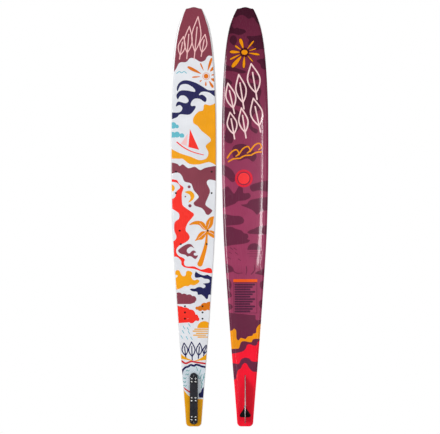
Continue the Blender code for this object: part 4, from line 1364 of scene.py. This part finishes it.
def dress_cad_nodes():
    """Better materials for the sealed CAD nodes, which keep their own shape."""
    for name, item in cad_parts.items():
        for part, finish in (("foam_core", "core_foam"), ("insert_plate", "plate_metal")):
            if part in name:
                item.data.materials.clear()
                item.data.materials.append(bpy.data.materials[finish])


# ---------------------------------------------------------------- light and camera

def area_light(name, place, target, size, power):
    light = bpy.data.lights.new(name, "AREA")
    light.shape = "RECTANGLE"
    light.size, light.size_y = size
    light.energy = power
    item = new_object(name, light)
    item.location = place
    item.rotation_euler = (Vector(target) - Vector(place)).to_track_quat("-Z", "Y").to_euler()


def studio():
    """A white surround that gives matt and glossy surfaces less light, and the area lights."""
    world = bpy.data.worlds.new("studio")
    bpy.context.scene.world = world
    world.use_nodes = True
    tree = world.node_tree
    glow = tree.nodes["Background"]
    path = tree.nodes.new("ShaderNodeLightPath")
    total = None
    for ray, strength in (("Is Camera Ray", 1.0), ("Is Diffuse Ray", SKY_LIGHT),
                          ("Is Glossy Ray", SKY_GLOSS)):
        part = tree.nodes.new("ShaderNodeMath")
        part.operation = "MULTIPLY_ADD"
        part.inputs[1].default_value = strength
        part.inputs[2].default_value = 0.0
        tree.links.new(path.outputs[ray], part.inputs[0])
        if total is not None:
            tree.links.new(total, part.inputs[2])
        total = part.outputs[0]
    glow.inputs["Color"].default_value = (1, 1, 1, 1)
    tree.links.new(total, glow.inputs["Strength"])
    for light in LIGHTS:
        area_light(*light)


def floor():
    """White paper just under the skis."""
    bpy.ops.mesh.primitive_circle_add(vertices=96, radius=FLOOR_RADIUS, fill_type="NGON",
                                      location=(0, 0, -FLOOR_DROP))
    item = bpy.context.object
    item.name = "floor"
    s = Shader("floor_paper", Specular_IOR_Level=0.2, Emission_Color=(1, 1, 1, 1),
               Emission_Strength=FLOOR_GLOW)
    paper = s.noise(scale=30, detail=4)
    tone = s.mix(s.span(paper, 0, 1), (0.86, 0.86, 0.86), (0.90, 0.90, 0.90))
    item.data.materials.append(s.finish(tone, s.span(paper, 0.75, 0.9), s.bump(paper, PAPER_RELIEF)))
    item.visible_glossy = False


def camera():
    data = bpy.data.cameras.new("camera")
    data.type = "ORTHO"
    data.ortho_scale = CAMERA_SCALE
    item = new_object("camera", data)
    item.location = CAMERA_PLACE
    item.rotation_euler = (math.pi / 2, 0, 0)
    bpy.context.scene.camera = item


camera()
floor()
studio()
make_materials()
make_skins()
make_hardware()
make_screws()
dress_cad_nodes()
bpy.context.scene.view_settings.view_transform = "Standard"
